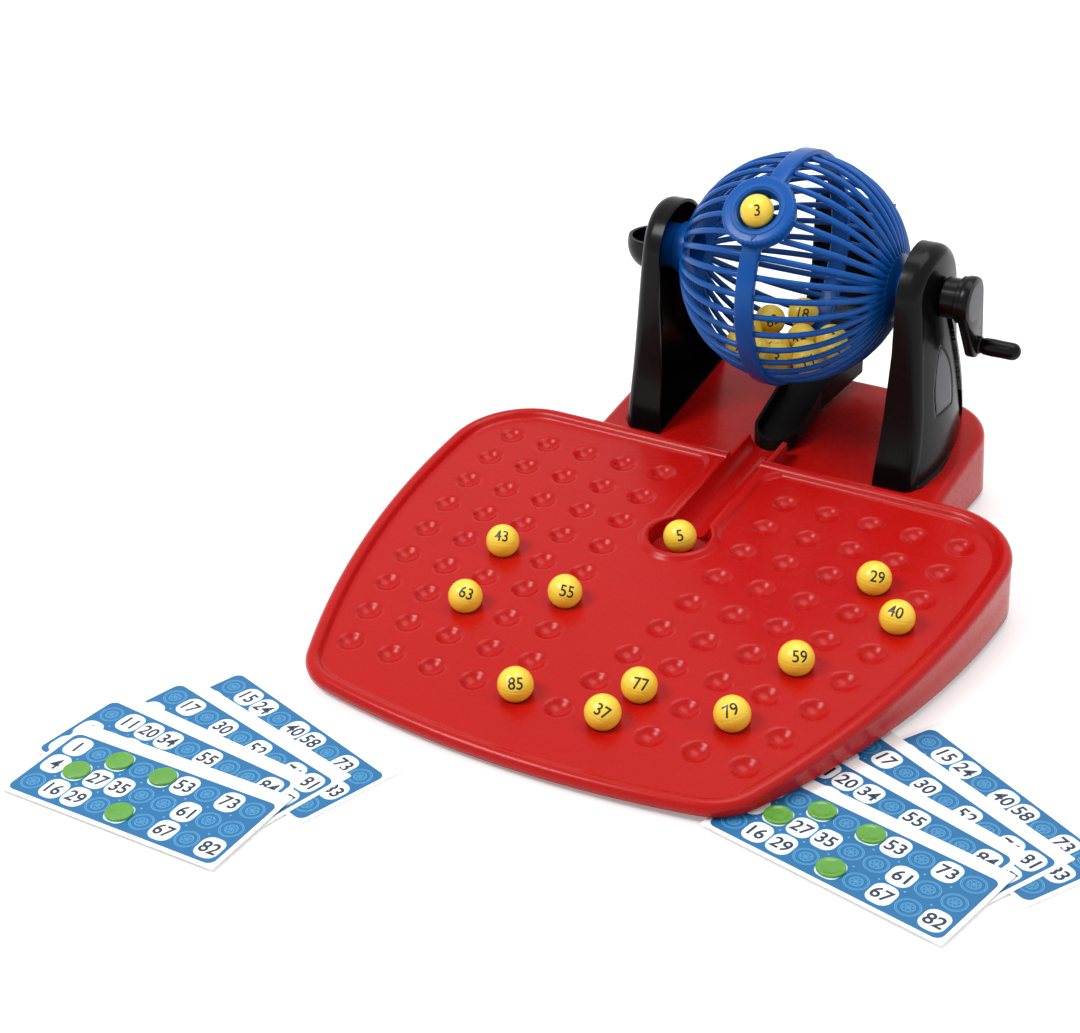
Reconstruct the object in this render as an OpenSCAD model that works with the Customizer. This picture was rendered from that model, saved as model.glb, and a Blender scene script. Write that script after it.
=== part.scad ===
// A bingo set: a sloping red tray with ninety ball seats, a ribbed ball cage on two stands that a
// crank turns, a chute that leads a drawn ball to a cup, numbered balls, and two fans of bingo
// cards with counters. Lengths are millimetres. X runs along the cage axle, Y to the back, Z up.

/* [Balls] */
// Diameter of a ball
ball_d = 18; // [14:0.5:24]
// Free space all round a ball that lies in a seat
ball_ease = 0.4; // [0.3:0.05:0.8]
// Height of the ball floor of the channel under a ball
ball_lift = 0.3; // [0.2:0.05:0.6]

/* [Board] */
// Distance between two seats in a row
seat_pitch = 25; // [22:0.5:32]
// Distance between two rows of seats
row_pitch = 25.2; // [22:0.2:32]
// Number of rows
rows = 9;
// Number of seats in half a row
seats_per_side = 5;
// Depth of a seat below the board
seat_depth = 3.4; // [2:0.1:5]
// Half gap between the two halves of the back row, in pitches
back_gap_share = 1.53;
// Half gap between the two halves of the front row, in pitches
front_gap_share = 0.48;
// Slope of the board in degrees
tilt = 7; // [4:0.5:12]
// Height of the board over the table at the front row
board_front_z = 11; // [9:0.5:16]

/* [Tray outline] */
// Half width of the tray at its widest point
tray_half_w = 169; // [150:1:190]
// Distance from the front row to the widest point
tray_wide_y = 183; // [160:1:200]
// Radius of the bowed sides
side_r = 496; // [400:1:700]
// Radius of the bowed front edge
front_r = 560; // [400:1:900]
// Distance from the front row to the front edge
front_reach = 46; // [38:1:60]
// Distance from the front row to the rear edge of the board
board_rear_y = 233; // [220:1:250]
// Radius of the front corners
front_corner_r = 32; // [24:1:40]
// Radius of the rear corners
rear_corner_r = 46; // [30:1:60]
// Radius of the rolled rim
rim_r = 4; // [3:0.25:6]
// Overhang of the rolled rim past the skirt
rim_over = 0.5; // [0.3:0.1:1]
// Rings that build up the rim's bead
rim_steps = 4; // [2:1:6]
// How far the rounded corners stand proud of the edges they join
corner_proud = 0.04; // [0.02:0.02:0.2]
// Wall thickness of the tray
tray_wall = 2.4; // [1.6:0.1:3]
// Height of the skirt's lower edge over the table
foot_h = 3.4; // [3:0.1:6]
// Radius of a foot
foot_r = 8; // [6:0.5:10]

/* [Channel and cup] */
// Radius of the channel for the drawn ball
channel_r = 10.5; // [10:0.1:14]
// Depth of the channel and of the cup below the board
channel_depth = 8.5; // [6:0.1:10]
// Radius of the cup
cup_r = 17; // [14:0.5:19]
// Distance from the front row to the middle of the cup
cup_y = 150; // [130:1:160]
// Height of the raised tongue round channel and cup
tongue_h = 2.6; // [1.5:0.1:3.5]
// Width of the tongue beside the cup
tongue_edge = 4; // [3:0.5:5]

/* [Rear deck] */
// Slope of the deck in degrees
deck_tilt = 10; // [7:0.5:12]
// Distance from the front row to the front of the stands
deck_front_y = 252; // [246:1:262]
// Height of the deck at the front of the stands
deck_front_z = 31; // [26:0.5:36]
// Half width of the deck
deck_half_w = 108; // [100:1:120]
// Depth of the deck behind the front of the stands
deck_depth = 96; // [90:1:120]
// Radius of the deck's rear corners
deck_corner_r = 34; // [20:1:45]
// Radius of the deck's rounded upper edge
deck_edge_r = 5; // [3:0.5:8]

/* [Stands] */
// Distance from the front row to the axle
axle_y = 285; // [275:1:295]
// Height of the axle
axle_z = 137; // [130:1:150]
// Distance from the middle plane to the inner side of a stand
stand_in_x = 73; // [70:0.5:80]
// Thickness of a stand at the axle
stand_t = 16; // [14:0.5:24]
// Slope of a stand's outer face in degrees
stand_draft = 4.5; // [0:0.5:8]
// Radius of a stand's arched top
stand_r = 28; // [22:0.5:32]
// Wall thickness of the stands
stand_wall = 2; // [1.5:0.1:3]
// Radius of the pillowed outer face
pillow_r = 100; // [80:1:200]
// Distance from the axle down to the leaf-shaped panel's lower edge
panel_drop = 68; // [60:1:76]
// Depth of the leaf-shaped panel
panel_depth = 1; // [0.6:0.1:1.5]
// Free space of a running fit
run_fit = 0.1; // [0.05:0.01:0.15]
// End float of the axle at a stand
end_float = 0.5; // [0.3:0.1:1]

/* [Cage] */
// Outer radius of the cage
cage_r = 65; // [60:0.5:72]
// Thickness of the ribs in the radial direction
rib_t = 3; // [2:0.1:4]
// Width of a rib
rib_w = 3.3; // [2.5:0.1:4]
// Number of ribs
ribs = 36;
// Radius of the closed cap round a hub
cap_r = 23; // [20:0.5:28]
// Width of one half of the equator band
band_w = 5.2; // [4:0.1:8]
// Height of the band over the ribs
band_rise = 2.2; // [1:0.1:4]
// Radius of the hollow left journal
journal_r = 13; // [12.5:0.1:15]
// Radius of the bore that balls are loaded through
load_r = 10.6; // [9.8:0.1:12]
// Radius of the right shaft
shaft_r = 5; // [4:0.1:7]
// Depth of the flat on the shaft's end
flat_depth = 1.2; // [0.8:0.1:2]

/* [Gate] */
// Angle of the gate above the front, in degrees
gate_angle = 45;
// Radius of the gate ring's flange
gate_r = 20.6; // [18:0.2:24]
// Radius of the hole in the gate ring
gate_hole_r = 11.4; // [10:0.1:13]
// Radius of the gate ring's neck
gate_neck_r = 15; // [13.5:0.1:16]
// Thickness of the gate's flange
gate_flange_t = 4; // [3:0.1:6]
// Height of the seat that the gate ring turns in
gate_seat_h = 6.4; // [5:0.1:8]
// Wall of that seat
gate_seat_wall = 4; // [3:0.1:6]
// Height of the snap bead on the neck
bead = 1; // [0.6:0.1:1.4]
// Thickness of the finger that holds a ball in the gate
finger_t = 1; // [0.8:0.1:1.5]
// Depth of the serrations
serration = 0.9; // [0.5:0.1:1.5]
// Number of serrations
serrations = 36;

/* [Crank] */
// Radius of the crank's hub
hub_r = 12.4; // [10:0.2:15]
// Thickness of the crank's hub
hub_t = 17; // [14:0.5:22]
// Gap between crank and stand
hub_gap = 0.8; // [0.4:0.1:2]
// Radius of the arm's end
arm_end_r = 7; // [6:0.2:9]
// Thickness of the arm
arm_t = 6; // [4:0.2:8]
// Length of the arm
arm_l = 32; // [26:0.5:40]
// Angle of the arm to the back of straight down, in degrees
arm_angle = 22;
// Radius of the grip
grip_r = 5; // [4:0.1:7]
// Length of the grip
grip_l = 25; // [20:0.5:36]

/* [Chute and scoop] */
// Inner half width of the trough
trough_half_w = 11.6; // [10.5:0.1:14]
// Half width of the backboard
back_half_w = 24; // [20:0.5:30]
// Wall thickness of chute and scoop
chute_t = 2; // [1.6:0.1:3]
// Height of the trough's walls
trough_h = 5.4; // [4:0.2:8]
// Depth of the trough's side walls below its upper end
wedge_h = 10; // [4:0.5:16]
// Slope of the trough in degrees
trough_tilt = 20.5; // [16:0.5:26]
// Gap between the channel's end and the chute
nose_gap = 1.8; // [1.4:0.1:3]
// Height of the trough's floor over the channel's floor
nose_step = 0.8; // [0.4:0.1:2]
// Length of the straight trough
trough_l = 88; // [80:1:100]
// Radius of the bend below the backboard
bend_r = 46; // [40:1:60]
// Height of the straight backboard
back_h = 44; // [30:1:60]
// Radius of the backboard's upper corners
back_corner_r = 7; // [4:0.5:12]
// Inner radius of the loading scoop
scoop_r = 15; // [12:0.5:20]

/* [Cards and counters] */
// Width of a bingo card
card_w = 126; // [110:1:160]
// Depth of a bingo card
card_d = 60; // [52:1:80]
// Thickness of a card
card_t = 0.5; // [0.4:0.05:0.8]
// Free space between two cards of a fan
card_gap = 0.06; // [0.05:0.01:0.1]
// Width of a cell
cell_w = 13.15; // [11:0.05:16]
// Depth of a cell
cell_d = 15.5; // [13:0.1:19]
// Distance from a card's lower edge to the printed cells
cell_edge = 4; // [3:0.1:8]
// Diameter of a counter
counter_d = 13.4; // [11:0.1:16]
// Thickness of a counter
counter_t = 1.4; // [1:0.1:2.5]
// Rounding of a counter's edges
counter_edge = 0.4; // [0.2:0.05:0.6]

/* [Layout of the fans] */
// Middle of the left fan's top card, to the side
fan_x = -126.5; // [-160:0.5:-100]
// Middle of the left fan's top card, to the back
fan_y = -143.5; // [-180:0.5:-110]
// Distance from the tray's front corner to the middle of the right fan's top card, to the side
fan_side_gap = 46.28; // [40:0.01:80]
// Distance from the front corner's middle to the middle of the right fan's top card, to the back
fan_front_gap = -15.03; // [-40:0.01:10]
// Turn of the right fan in degrees
fan_turn = -12;
// Distance from the tray's front row to the middle of the whole set, to the back
set_y = 98.91; // [60:0.01:140]
// Distance from the tray's middle plane to the middle of the whole set, to the side
set_x = 41.91; // [0:0.01:60]

/* [Hidden] */
$fn = 72;
plan_fn = 360;
// Amount by which a cut runs past the face it opens
over = 1;
ball_r = ball_d / 2;
seat_r = ball_r + ball_ease;
seat_c = seat_r - seat_depth;
channel_c = channel_r - channel_depth;
channel_ball = ball_r + ball_lift - channel_depth;
rim_in = rim_r - rim_over;
side_c = [tray_half_w - side_r, tray_wide_y];
front_c = [0, front_r - front_reach];
skirt_drop = board_rear_y;
stand_out_x = stand_in_x + stand_t;
cage_in_r = cage_r - rib_t;
band_r = cage_r + band_rise;
gate_seat_r = gate_neck_r + gate_seat_wall;
gate_top = cage_in_r + gate_seat_h;
gate_flange_z = gate_top + end_float;
gate_ball_z = cage_in_r + run_fit + finger_t + ball_lift + ball_r;
rib_pitch = 360 / ribs;
panel_low = axle_z - panel_drop;
card_level = card_t + card_gap;
channel_end_y = deck_front_y + rim_r;
nose_y = channel_end_y + nose_gap;
arm_end = [axle_y + arm_l * sin(arm_angle), axle_z - arm_l * cos(arm_angle)];

// Middle of the corner circle that touches the bowed side and the bowed front
front_gap_v = front_c - side_c;
front_gap_l = norm(front_gap_v);
front_gap_a = (pow(side_r - front_corner_r, 2) - pow(front_r - front_corner_r, 2) + pow(front_gap_l, 2))
    / (2 * front_gap_l);
front_gap_b = sqrt(pow(side_r - front_corner_r, 2) - pow(front_gap_a, 2));
front_gap_u = front_gap_v / front_gap_l;
front_corner = side_c + front_gap_a * front_gap_u + front_gap_b * [front_gap_u[1], -front_gap_u[0]];
rear_corner = [
    side_c[0] + sqrt(pow(side_r - rear_corner_r, 2) - pow(board_rear_y - rear_corner_r - tray_wide_y, 2)),
    board_rear_y - rear_corner_r,
];
function away(p, c) = (p - c) / norm(p - c);
front_side_u = away(front_corner, side_c);
left_fan = [fan_x, fan_y];
right_fan = front_corner + [front_corner_r + fan_side_gap, fan_front_gap];
front_front_u = away(front_corner, front_c);
rear_side_u = away(rear_corner, side_c);

// Half gap of a row in pitches: it closes towards the front along a parabola
function row_gap(row) = back_gap_share - (back_gap_share - front_gap_share) * pow(row / (rows - 1), 2);
function seat_x(row, col) = col < seats_per_side
    ? -(seats_per_side - 1 - col + row_gap(row)) * seat_pitch
    : (col - seats_per_side + row_gap(row)) * seat_pitch;
function seat_y(row) = (rows - 1 - row) * row_pitch;

// Row and seat of the balls that lie on the board
board_balls = [[4, 2], [6, 2], [5, 4], [8, 4], [8, 6], [7, 6], [7, 8], [5, 8], [3, 9], [2, 8]];
// Turn of each card of a fan in degrees, from the top card down
fan_turns = [1, -5, -13.5, -17];
// Place of each card's middle beside the top card's middle, in card widths
fan_spot_shares = [[0, 0], [-0.054, 0.193], [0.055, 0.356], [0.194, 0.513]];
// Row and cell of the counters on a top card
counter_cells = [[0, 2], [0, 4], [1, 1], [2, 4]];

// Places
module in_set() {
    translate([-set_x, -set_y, 0]) children();
}

module on_board() {
    translate([0, 0, board_front_z]) rotate([tilt, 0, 0]) children();
}

module on_deck() {
    translate([0, deck_front_y, deck_front_z]) rotate([deck_tilt, 0, 0]) children();
}

module on_axle() {
    translate([0, axle_y, axle_z]) children();
}

module on_gate() {
    on_axle() rotate([gate_angle, 0, 0]) children();
}

// A body lying along X, drawn upright
module along_x(x) {
    translate([x, 0, 0]) rotate([0, 90, 0]) children();
}

// Everything above the lower edge of the skirt
module above_skirt() {
    translate([-side_r, -side_r, foot_h]) cube([2 * side_r, 3 * side_r, side_r]);
}

// The tray
module corner_fan(p, u, v, r) {
    polygon([p, p + 2 * r * u, p + 2 * r * (u + v), p + 2 * r * v]);
}

// Plan of the board, drawn smaller all round by d
module board_plan(d) {
    difference() {
        intersection() {
            translate(side_c) circle(r = side_r - d, $fn = plan_fn);
            mirror([1, 0]) translate(side_c) circle(r = side_r - d, $fn = plan_fn);
            translate(front_c) circle(r = front_r - d, $fn = plan_fn);
            translate([-side_r, -side_r]) square([2 * side_r, side_r + board_rear_y - d]);
        }
        for (m = [0, 1]) mirror([m, 0]) {
            corner_fan(front_corner, front_side_u, front_front_u, front_corner_r);
            corner_fan(rear_corner, rear_side_u, [0, 1], rear_corner_r);
        }
    }
    for (m = [0, 1]) mirror([m, 0]) {
        translate(front_corner) circle(r = front_corner_r - d + corner_proud);
        translate(rear_corner) circle(r = rear_corner_r - d + corner_proud);
    }
}

// The rolled rim is a round bead, built up in rings of the plan that grow narrower upwards
module rim() {
    for (i = [0:rim_steps - 1]) {
        a = 90 * (i + 0.5) / rim_steps;
        translate([0, 0, -tray_wall / 2]) linear_extrude(tray_wall / 2 + rim_r * sin(a)) difference() {
            board_plan(rim_in - rim_r * cos(a));
            board_plan(rim_in + rim_r * cos(a));
        }
    }
}

// Plan of the deck, drawn smaller all round by d
module deck_plan(d) {
    w = deck_half_w - d;
    c = deck_corner_r - d;
    front = deck_front_y - board_rear_y + 2 * tray_wall;
    translate([-w, -front]) square([2 * w, front + deck_depth - deck_corner_r]);
    translate([-w + c, -front]) square([2 * (w - c), front + deck_depth - d]);
    for (m = [0, 1]) mirror([m, 0]) {
        translate([w - c, deck_depth - deck_corner_r]) quarter(c);
    }
}

// A quarter of a disc, towards +X and +Y
module quarter(r) {
    intersection() {
        circle(r = r);
        square(r);
    }
}

// The deck's block with its upper edge rounded along sides, corners and back
module deck_block() {
    e = deck_edge_r;
    w = deck_half_w - e;
    c = deck_corner_r - e;
    front = deck_front_y - board_rear_y + 2 * tray_wall;
    side_l = front + deck_depth - deck_corner_r;
    translate([0, 0, -skirt_drop]) linear_extrude(skirt_drop) deck_plan(e);
    translate([0, 0, -skirt_drop]) linear_extrude(skirt_drop - e) deck_plan(0);
    for (m = [0, 1]) mirror([m, 0, 0]) {
        translate([w, deck_depth - deck_corner_r, -e]) rotate([90, 0, 0]) linear_extrude(side_l) quarter(e);
        translate([w - c, deck_depth - deck_corner_r, -e])
            rotate_extrude(angle = 90) translate([c, 0]) quarter(e);
    }
    translate([-(w - c), deck_depth - e, -e])
        rotate([90, 0, 90]) linear_extrude(2 * (w - c)) quarter(e);
}

module seat_places() {
    for (row = [0:rows - 1]) for (col = [0:2 * seats_per_side - 1]) {
        translate([seat_x(row, col), seat_y(row), 0]) children();
    }
}

// The tongue, the half-round channel and the cup as one raised pad with the walls below it
module channel_body() {
    half_w = channel_r + tray_wall;
    low = channel_depth + tray_wall;
    reach = channel_end_y / cos(tilt) - cup_y;
    translate([0, 0, -low]) {
        translate([0, cup_y, 0]) cylinder(r = cup_r + tongue_edge, h = low + tongue_h);
        translate([-half_w, cup_y, 0]) cube([2 * half_w, reach, low]);
    }
    translate([-half_w - tongue_edge, cup_y, 0])
        cube([2 * (half_w + tongue_edge), board_rear_y - rim_in - cup_y, tongue_h]);
}

module channel_cut() {
    reach = channel_end_y / cos(tilt) - cup_y + 2 * over;
    translate([0, cup_y, -channel_depth]) cylinder(r = cup_r, h = 2 * channel_depth);
    translate([0, cup_y, channel_c]) rotate([-90, 0, 0]) cylinder(r = channel_r, h = reach);
    translate([-channel_r, cup_y, channel_c]) cube([2 * channel_r, reach, 2 * channel_depth]);
}

// Blocks on the deck that fill the hollow feet of the stands
module stand_plugs() {
    for (m = [0, 1]) mirror([m, 0, 0]) {
        translate([stand_in_x + over, 2 * stand_wall + over, -tray_wall])
            cube([stand_t - 4 * stand_wall - over, stand_r * 2, tray_wall + 4 * stand_wall]);
    }
}

// Posts under the tray, from the plate down to the table
module board_foot(x, y) {
    translate([x, y, 0]) cylinder(r = foot_r, h = board_front_z + y * tan(tilt) - tray_wall * 0.8);
}

module feet() {
    rear_y = deck_front_y + deck_depth - deck_corner_r;
    rear_h = deck_front_z + (deck_depth - deck_corner_r) * tan(deck_tilt) - tray_wall * 0.8;
    for (m = [0, 1]) mirror([m, 0, 0]) {
        board_foot(front_corner[0] - 2 * foot_r, front_corner[1] - 2 * foot_r);
        board_foot(rear_corner[0], rear_corner[1]);
        translate([deck_half_w - deck_corner_r, rear_y, 0]) cylinder(r = foot_r, h = rear_h);
    }
}

// Stiffening ribs under the board
module board_ribs() {
    low = board_front_z;
    for (row = [1:4]) {
        y = seat_y(row) + row_pitch / 2;
        translate([-tray_half_w + rear_corner_r, y - tray_wall / 4, -low])
            cube([2 * (tray_half_w - rear_corner_r), tray_wall / 2, low - tray_wall / 2]);
    }
}

module tray_base() {
    color("#c82823") difference() {
        union() {
            difference() {
                union() {
                    intersection() {
                        union() {
                            on_board() translate([0, 0, -skirt_drop]) linear_extrude(skirt_drop) board_plan(0);
                            on_deck() deck_block();
                        }
                        above_skirt();
                    }
                }
                on_board() translate([0, 0, -skirt_drop - tray_wall]) linear_extrude(skirt_drop)
                    board_plan(tray_wall);
                on_deck() translate([0, 0, -skirt_drop - tray_wall]) linear_extrude(skirt_drop)
                    deck_plan(tray_wall);
            }
            on_board() {
                rim();
                channel_body();
                board_ribs();
                seat_places() translate([0, 0, -seat_depth - tray_wall])
                    cylinder(r = seat_r - tray_wall / 2, h = seat_depth + tray_wall / 2);
            }
            on_deck() stand_plugs();
            feet();
        }
        on_board() {
            seat_places() translate([0, 0, seat_c]) sphere(r = seat_r);
            channel_cut();
        }
    }
}

// Side view of a stand, drawn smaller all round by d
module stand_side(d) {
    front = axle_y - stand_r + d;
    rear = axle_y + stand_r - d;
    translate([axle_y, axle_z]) circle(r = stand_r - d);
    polygon([
        [front - stand_r / 4, 0],
        [front - stand_r / 5, deck_front_z],
        [front, deck_front_z + stand_r * 1.4],
        [front, axle_z],
        [rear, axle_z],
        [rear, axle_z - stand_r * 1.2],
        [rear + stand_r / 6, axle_z - stand_r * 1.9],
        [rear + stand_r / 2, axle_z - stand_r * 2.6],
        [rear + stand_r, axle_z - stand_r * 3.3],
        [rear + stand_r * 1.3, 0],
    ]);
}

// The outer face of the right stand: x is 0 on the face at the height of the axle
module on_face() {
    translate([stand_out_x, axle_y, axle_z]) rotate([0, -stand_draft, 0]) children();
}

// Everything inside the bowed outer face, drawn smaller by d
module inside_face(d) {
    on_face() translate([-pillow_r, stand_r / 5, -2 * axle_z]) cylinder(r = pillow_r - d, h = 4 * axle_z);
}

// A slab with the stand's side view, from x over the length h
module stand_slab(x, h, d) {
    translate([x, 0, 0]) rotate([90, 0, 90]) linear_extrude(h) stand_side(d);
}

// The leaf-shaped panel in a stand's outer face
module leaf() {
    intersection() {
        translate([axle_y - stand_r, panel_low + stand_r / 4]) circle(r = stand_r * 1.46);
        translate([axle_y + stand_r * 1.8, panel_low + stand_r / 2]) circle(r = stand_r * 2.16);
        translate([axle_y - stand_r, panel_low]) square([2 * stand_r, 2 * stand_r]);
    }
}

// A stand shell on the right side, open to the cage
module stand_shell(bore, boss) {
    boss_l = stand_t - stand_wall / 2 + 3 * end_float;
    difference() {
        union() {
            difference() {
                intersection() {
                    stand_slab(stand_in_x, 2 * stand_t, 0);
                    inside_face(0);
                }
                intersection() {
                    stand_slab(stand_in_x - over, 2 * stand_t, stand_wall);
                    inside_face(stand_wall);
                }
            }
            on_axle() along_x(stand_in_x - 3 * end_float) cylinder(r = boss, h = boss_l);
        }
        on_axle() along_x(stand_in_x - stand_t) cylinder(r = bore, h = 3 * stand_t);
        on_face() translate([-panel_depth, -axle_y, -axle_z]) rotate([90, 0, 90]) linear_extrude(stand_t) leaf();
        on_deck() translate([0, -deck_depth, -skirt_drop]) cube([2 * stand_out_x, 3 * deck_depth, skirt_drop]);
    }
}

module right_stand() {
    color("#181818") stand_shell(shaft_r + run_fit, hub_r - stand_wall);
}

module left_stand() {
    color("#181818") mirror([1, 0, 0]) stand_shell(journal_r + run_fit, journal_r + stand_wall + run_fit);
}

// A bowl, open at the top, that hands balls to the hollow journal
module loading_scoop() {
    color("#181818") mirror([1, 0, 0]) difference() {
        translate([stand_out_x - over, axle_y, axle_z]) intersection() {
            sphere(r = scoop_r + chute_t);
            translate([0, -2 * scoop_r, -2 * scoop_r]) cube([2 * scoop_r, 4 * scoop_r, 2 * scoop_r + ball_r / 2]);
        }
        translate([stand_out_x - over, axle_y, axle_z]) sphere(r = scoop_r);
        inside_face(0);
    }
}

// The chute
module chute_path(low, high) {
    // Straight trough, bend and backboard, from low under the path to high over it
    bend = 90 - trough_tilt - chute_t;
    rotate(trough_tilt) {
        translate([0, -low]) square([trough_l, low + high]);
        translate([trough_l, bend_r]) {
            intersection() {
                difference() {
                    circle(r = bend_r + low);
                    circle(r = bend_r - high);
                }
                polygon([
                    [0, 0],
                    [0, -2 * bend_r],
                    [2 * bend_r, -2 * bend_r],
                    2 * bend_r * [sin(bend), -cos(bend)],
                ]);
            }
            rotate(bend) translate([-over, -bend_r - low]) square([back_h + over, low + high]);
        }
    }
}

module chute_plan(d) {
    w = trough_half_w + chute_t - d;
    b = back_half_w - d;
    polygon([
        [-w, w], [-w, trough_l / 2], [-b, trough_l], [-b, 2 * trough_l],
        [b, 2 * trough_l], [b, trough_l], [w, trough_l / 2], [w, w],
    ]);
    translate([0, w]) circle(r = w);
}

module chute_slab(low, high) {
    rotate([90, 0, 90]) translate([0, 0, -2 * back_half_w]) linear_extrude(4 * back_half_w) chute_path(low, high);
}

// A slab of half width w with an outline seen from the side
module chute_wedge(w, outline) {
    rotate([90, 0, 90]) translate([0, 0, -w]) linear_extrude(2 * w) polygon(outline);
}

module chute_tower(d) {
    translate([0, d, -trough_l]) linear_extrude(4 * trough_l) chute_plan(d);
}

module ball_chute() {
    floor_z = board_front_z + channel_end_y * tan(tilt) - channel_depth / cos(tilt) + nose_step;
    run_end = trough_l * [cos(trough_tilt), sin(trough_tilt)];
    color("#1a1a1a") difference() {
        translate([0, nose_y, floor_z]) {
            intersection() {
                chute_slab(chute_t, 0);
                chute_tower(0);
            }
            intersection() {
                chute_slab(chute_t, trough_h);
                difference() {
                    chute_tower(0);
                    chute_tower(chute_t);
                }
            }
            intersection() {
                chute_wedge(2 * back_half_w, [[0, -chute_t], run_end - [0, wedge_h], run_end, [0, 0]]);
                difference() {
                    chute_tower(0);
                    chute_tower(chute_t);
                }
            }
            chute_wedge(chute_t, [
                run_end * 0.4 - [0, trough_l],
                run_end * 0.8 - [0, trough_l],
                run_end * 0.8,
                run_end * 0.4,
            ]);
        }
        on_deck() translate([-2 * back_half_w, -deck_depth, -skirt_drop])
            cube([4 * back_half_w, 3 * deck_depth, skirt_drop]);
    }
}

// One half of the cage, drawn on the right side
module cage_shell() {
    difference() {
        sphere(r = cage_r);
        sphere(r = cage_in_r);
    }
}

module rib_slabs() {
    for (i = [0:ribs - 1]) {
        rotate([rib_pitch * (i + 1 / 2), 0, 0])
            translate([0, -rib_w / 2, cap_r - rib_t]) cube([cage_r, rib_w, cage_r]);
    }
}

module cage_half() {
    intersection() {
        cage_shell();
        union() {
            rib_slabs();
            along_x(0) cylinder(r = cap_r, h = 2 * cage_r);
        }
        translate([0, -cage_r, -cage_r]) cube([cage_r, 2 * cage_r, 2 * cage_r]);
    }
    difference() {
        along_x(0) cylinder(r = band_r, h = band_w);
        along_x(-over) cylinder(r = cage_in_r, h = band_w + 2 * over);
    }
    rotate([gate_angle, 0, 0]) intersection() {
        translate([0, 0, cage_in_r]) cylinder(r = gate_seat_r, h = gate_seat_h);
        translate([0, -cage_r, 0]) cube([cage_r, 2 * cage_r, 2 * cage_r]);
    }
}

// The seat's bore with the groove for the snap bead
module gate_bore() {
    rotate([gate_angle, 0, 0]) {
        translate([0, 0, cage_in_r - rib_t]) cylinder(r = gate_neck_r + run_fit, h = gate_seat_h + 2 * rib_t);
        translate([0, 0, cage_in_r + 2 * bead]) cylinder(r = gate_neck_r + bead + run_fit, h = 2 * bead);
    }
}

module cage_left() {
    stop_x = stand_in_x - 4 * end_float;
    color("#1f52a0") on_axle() mirror([1, 0, 0]) difference() {
        union() {
            cage_half();
            along_x(cage_in_r - rib_t) cylinder(r = journal_r + stand_wall, h = stop_x - cage_in_r + rib_t);
            along_x(cage_in_r - rib_t)
                cylinder(r = journal_r, h = stand_out_x - stand_wall - end_float - cage_in_r + rib_t);
        }
        gate_bore();
        along_x(cage_in_r - 2 * rib_t) cylinder(r = load_r, h = cage_r);
    }
}

module cage_right() {
    stop_x = stand_in_x - 4 * end_float;
    end_x = stand_out_x + hub_gap + hub_t * 0.7;
    color("#1f52a0") on_axle() difference() {
        union() {
            cage_half();
            along_x(cage_in_r - rib_t) cylinder(r = hub_r - stand_wall, h = stop_x - cage_in_r + rib_t);
            along_x(cage_in_r - rib_t) cylinder(r = shaft_r, h = end_x - cage_in_r + rib_t);
        }
        gate_bore();
        translate([stand_out_x + hub_gap, -shaft_r, shaft_r - flat_depth]) cube([hub_t, 2 * shaft_r, shaft_r]);
    }
}

module serrated_plan() {
    n = 2 * serrations;
    polygon([for (i = [0:n - 1]) (gate_r - serration * (i % 2)) * [cos(360 * i / n), sin(360 * i / n)]]);
}

module gate_ring() {
    low = cage_in_r + run_fit;
    color("#2460b4") on_gate() {
        difference() {
            union() {
                translate([0, 0, low]) cylinder(r = gate_neck_r, h = gate_flange_z - low);
                translate([0, 0, cage_in_r + 2 * bead + run_fit])
                    cylinder(r = gate_neck_r + bead, h = 2 * (bead - run_fit));
                translate([0, 0, gate_flange_z]) linear_extrude(gate_flange_t) serrated_plan();
            }
            difference() {
                translate([0, 0, low - over]) cylinder(r = gate_hole_r, h = gate_seat_h + 2 * gate_flange_t);
                translate([-gate_r, -gate_r, low - over]) cube([2 * gate_r, gate_r + ball_r / 3, finger_t + over]);
            }
        }
    }
}

// The crank
module crank_side(d) {
    // Arm in side view: hub, end and the flanks that touch both
    step = arm_end - [axle_y, axle_z];
    lean = asin((hub_r - arm_end_r) / arm_l);
    dir = atan2(step[1], step[0]);
    u = [cos(dir + 90 - lean), sin(dir + 90 - lean)];
    v = [cos(dir - 90 + lean), sin(dir - 90 + lean)];
    hub = [axle_y, axle_z];
    translate(hub) circle(r = hub_r - d);
    translate(arm_end) circle(r = arm_end_r - d);
    polygon([
        hub + (hub_r - d) * u,
        arm_end + (arm_end_r - d) * u,
        arm_end + (arm_end_r - d) * v,
        hub + (hub_r - d) * v,
    ]);
}

module crank() {
    start = stand_out_x + hub_gap;
    arm_x = start + hub_t - arm_t;
    color("#161616") difference() {
        union() {
            on_axle() along_x(start) cylinder(r = hub_r - flat_depth, h = hub_t - arm_t / 2);
            translate([arm_x, 0, 0]) rotate([90, 0, 90]) linear_extrude(arm_t) crank_side(0);
            on_axle() along_x(start + hub_t - over) cylinder(r = hub_r - 2 * flat_depth, h = flat_depth / 2 + over);
            translate([arm_x, arm_end[0], arm_end[1]]) {
                along_x(0) cylinder(r = grip_r, h = grip_l);
                translate([grip_l, 0, 0]) sphere(r = grip_r);
            }
        }
        on_axle() difference() {
            along_x(start - over) cylinder(r = shaft_r + run_fit / 2, h = hub_t * 0.7 + over + run_fit);
            translate([start - 2 * over, -hub_r, shaft_r - flat_depth + run_fit / 2])
                cube([2 * hub_t, 2 * hub_r, hub_r]);
        }
    }
}

// Balls
module ball() {
    color("#f5cd32") sphere(r = ball_r);
}

module ball_gate() {
    on_gate() translate([0, -(gate_hole_r - ball_r) / 2, gate_ball_z]) ball();
}

module ball_drawn() {
    on_board() translate([0, cup_y, channel_ball]) ball();
}

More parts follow.
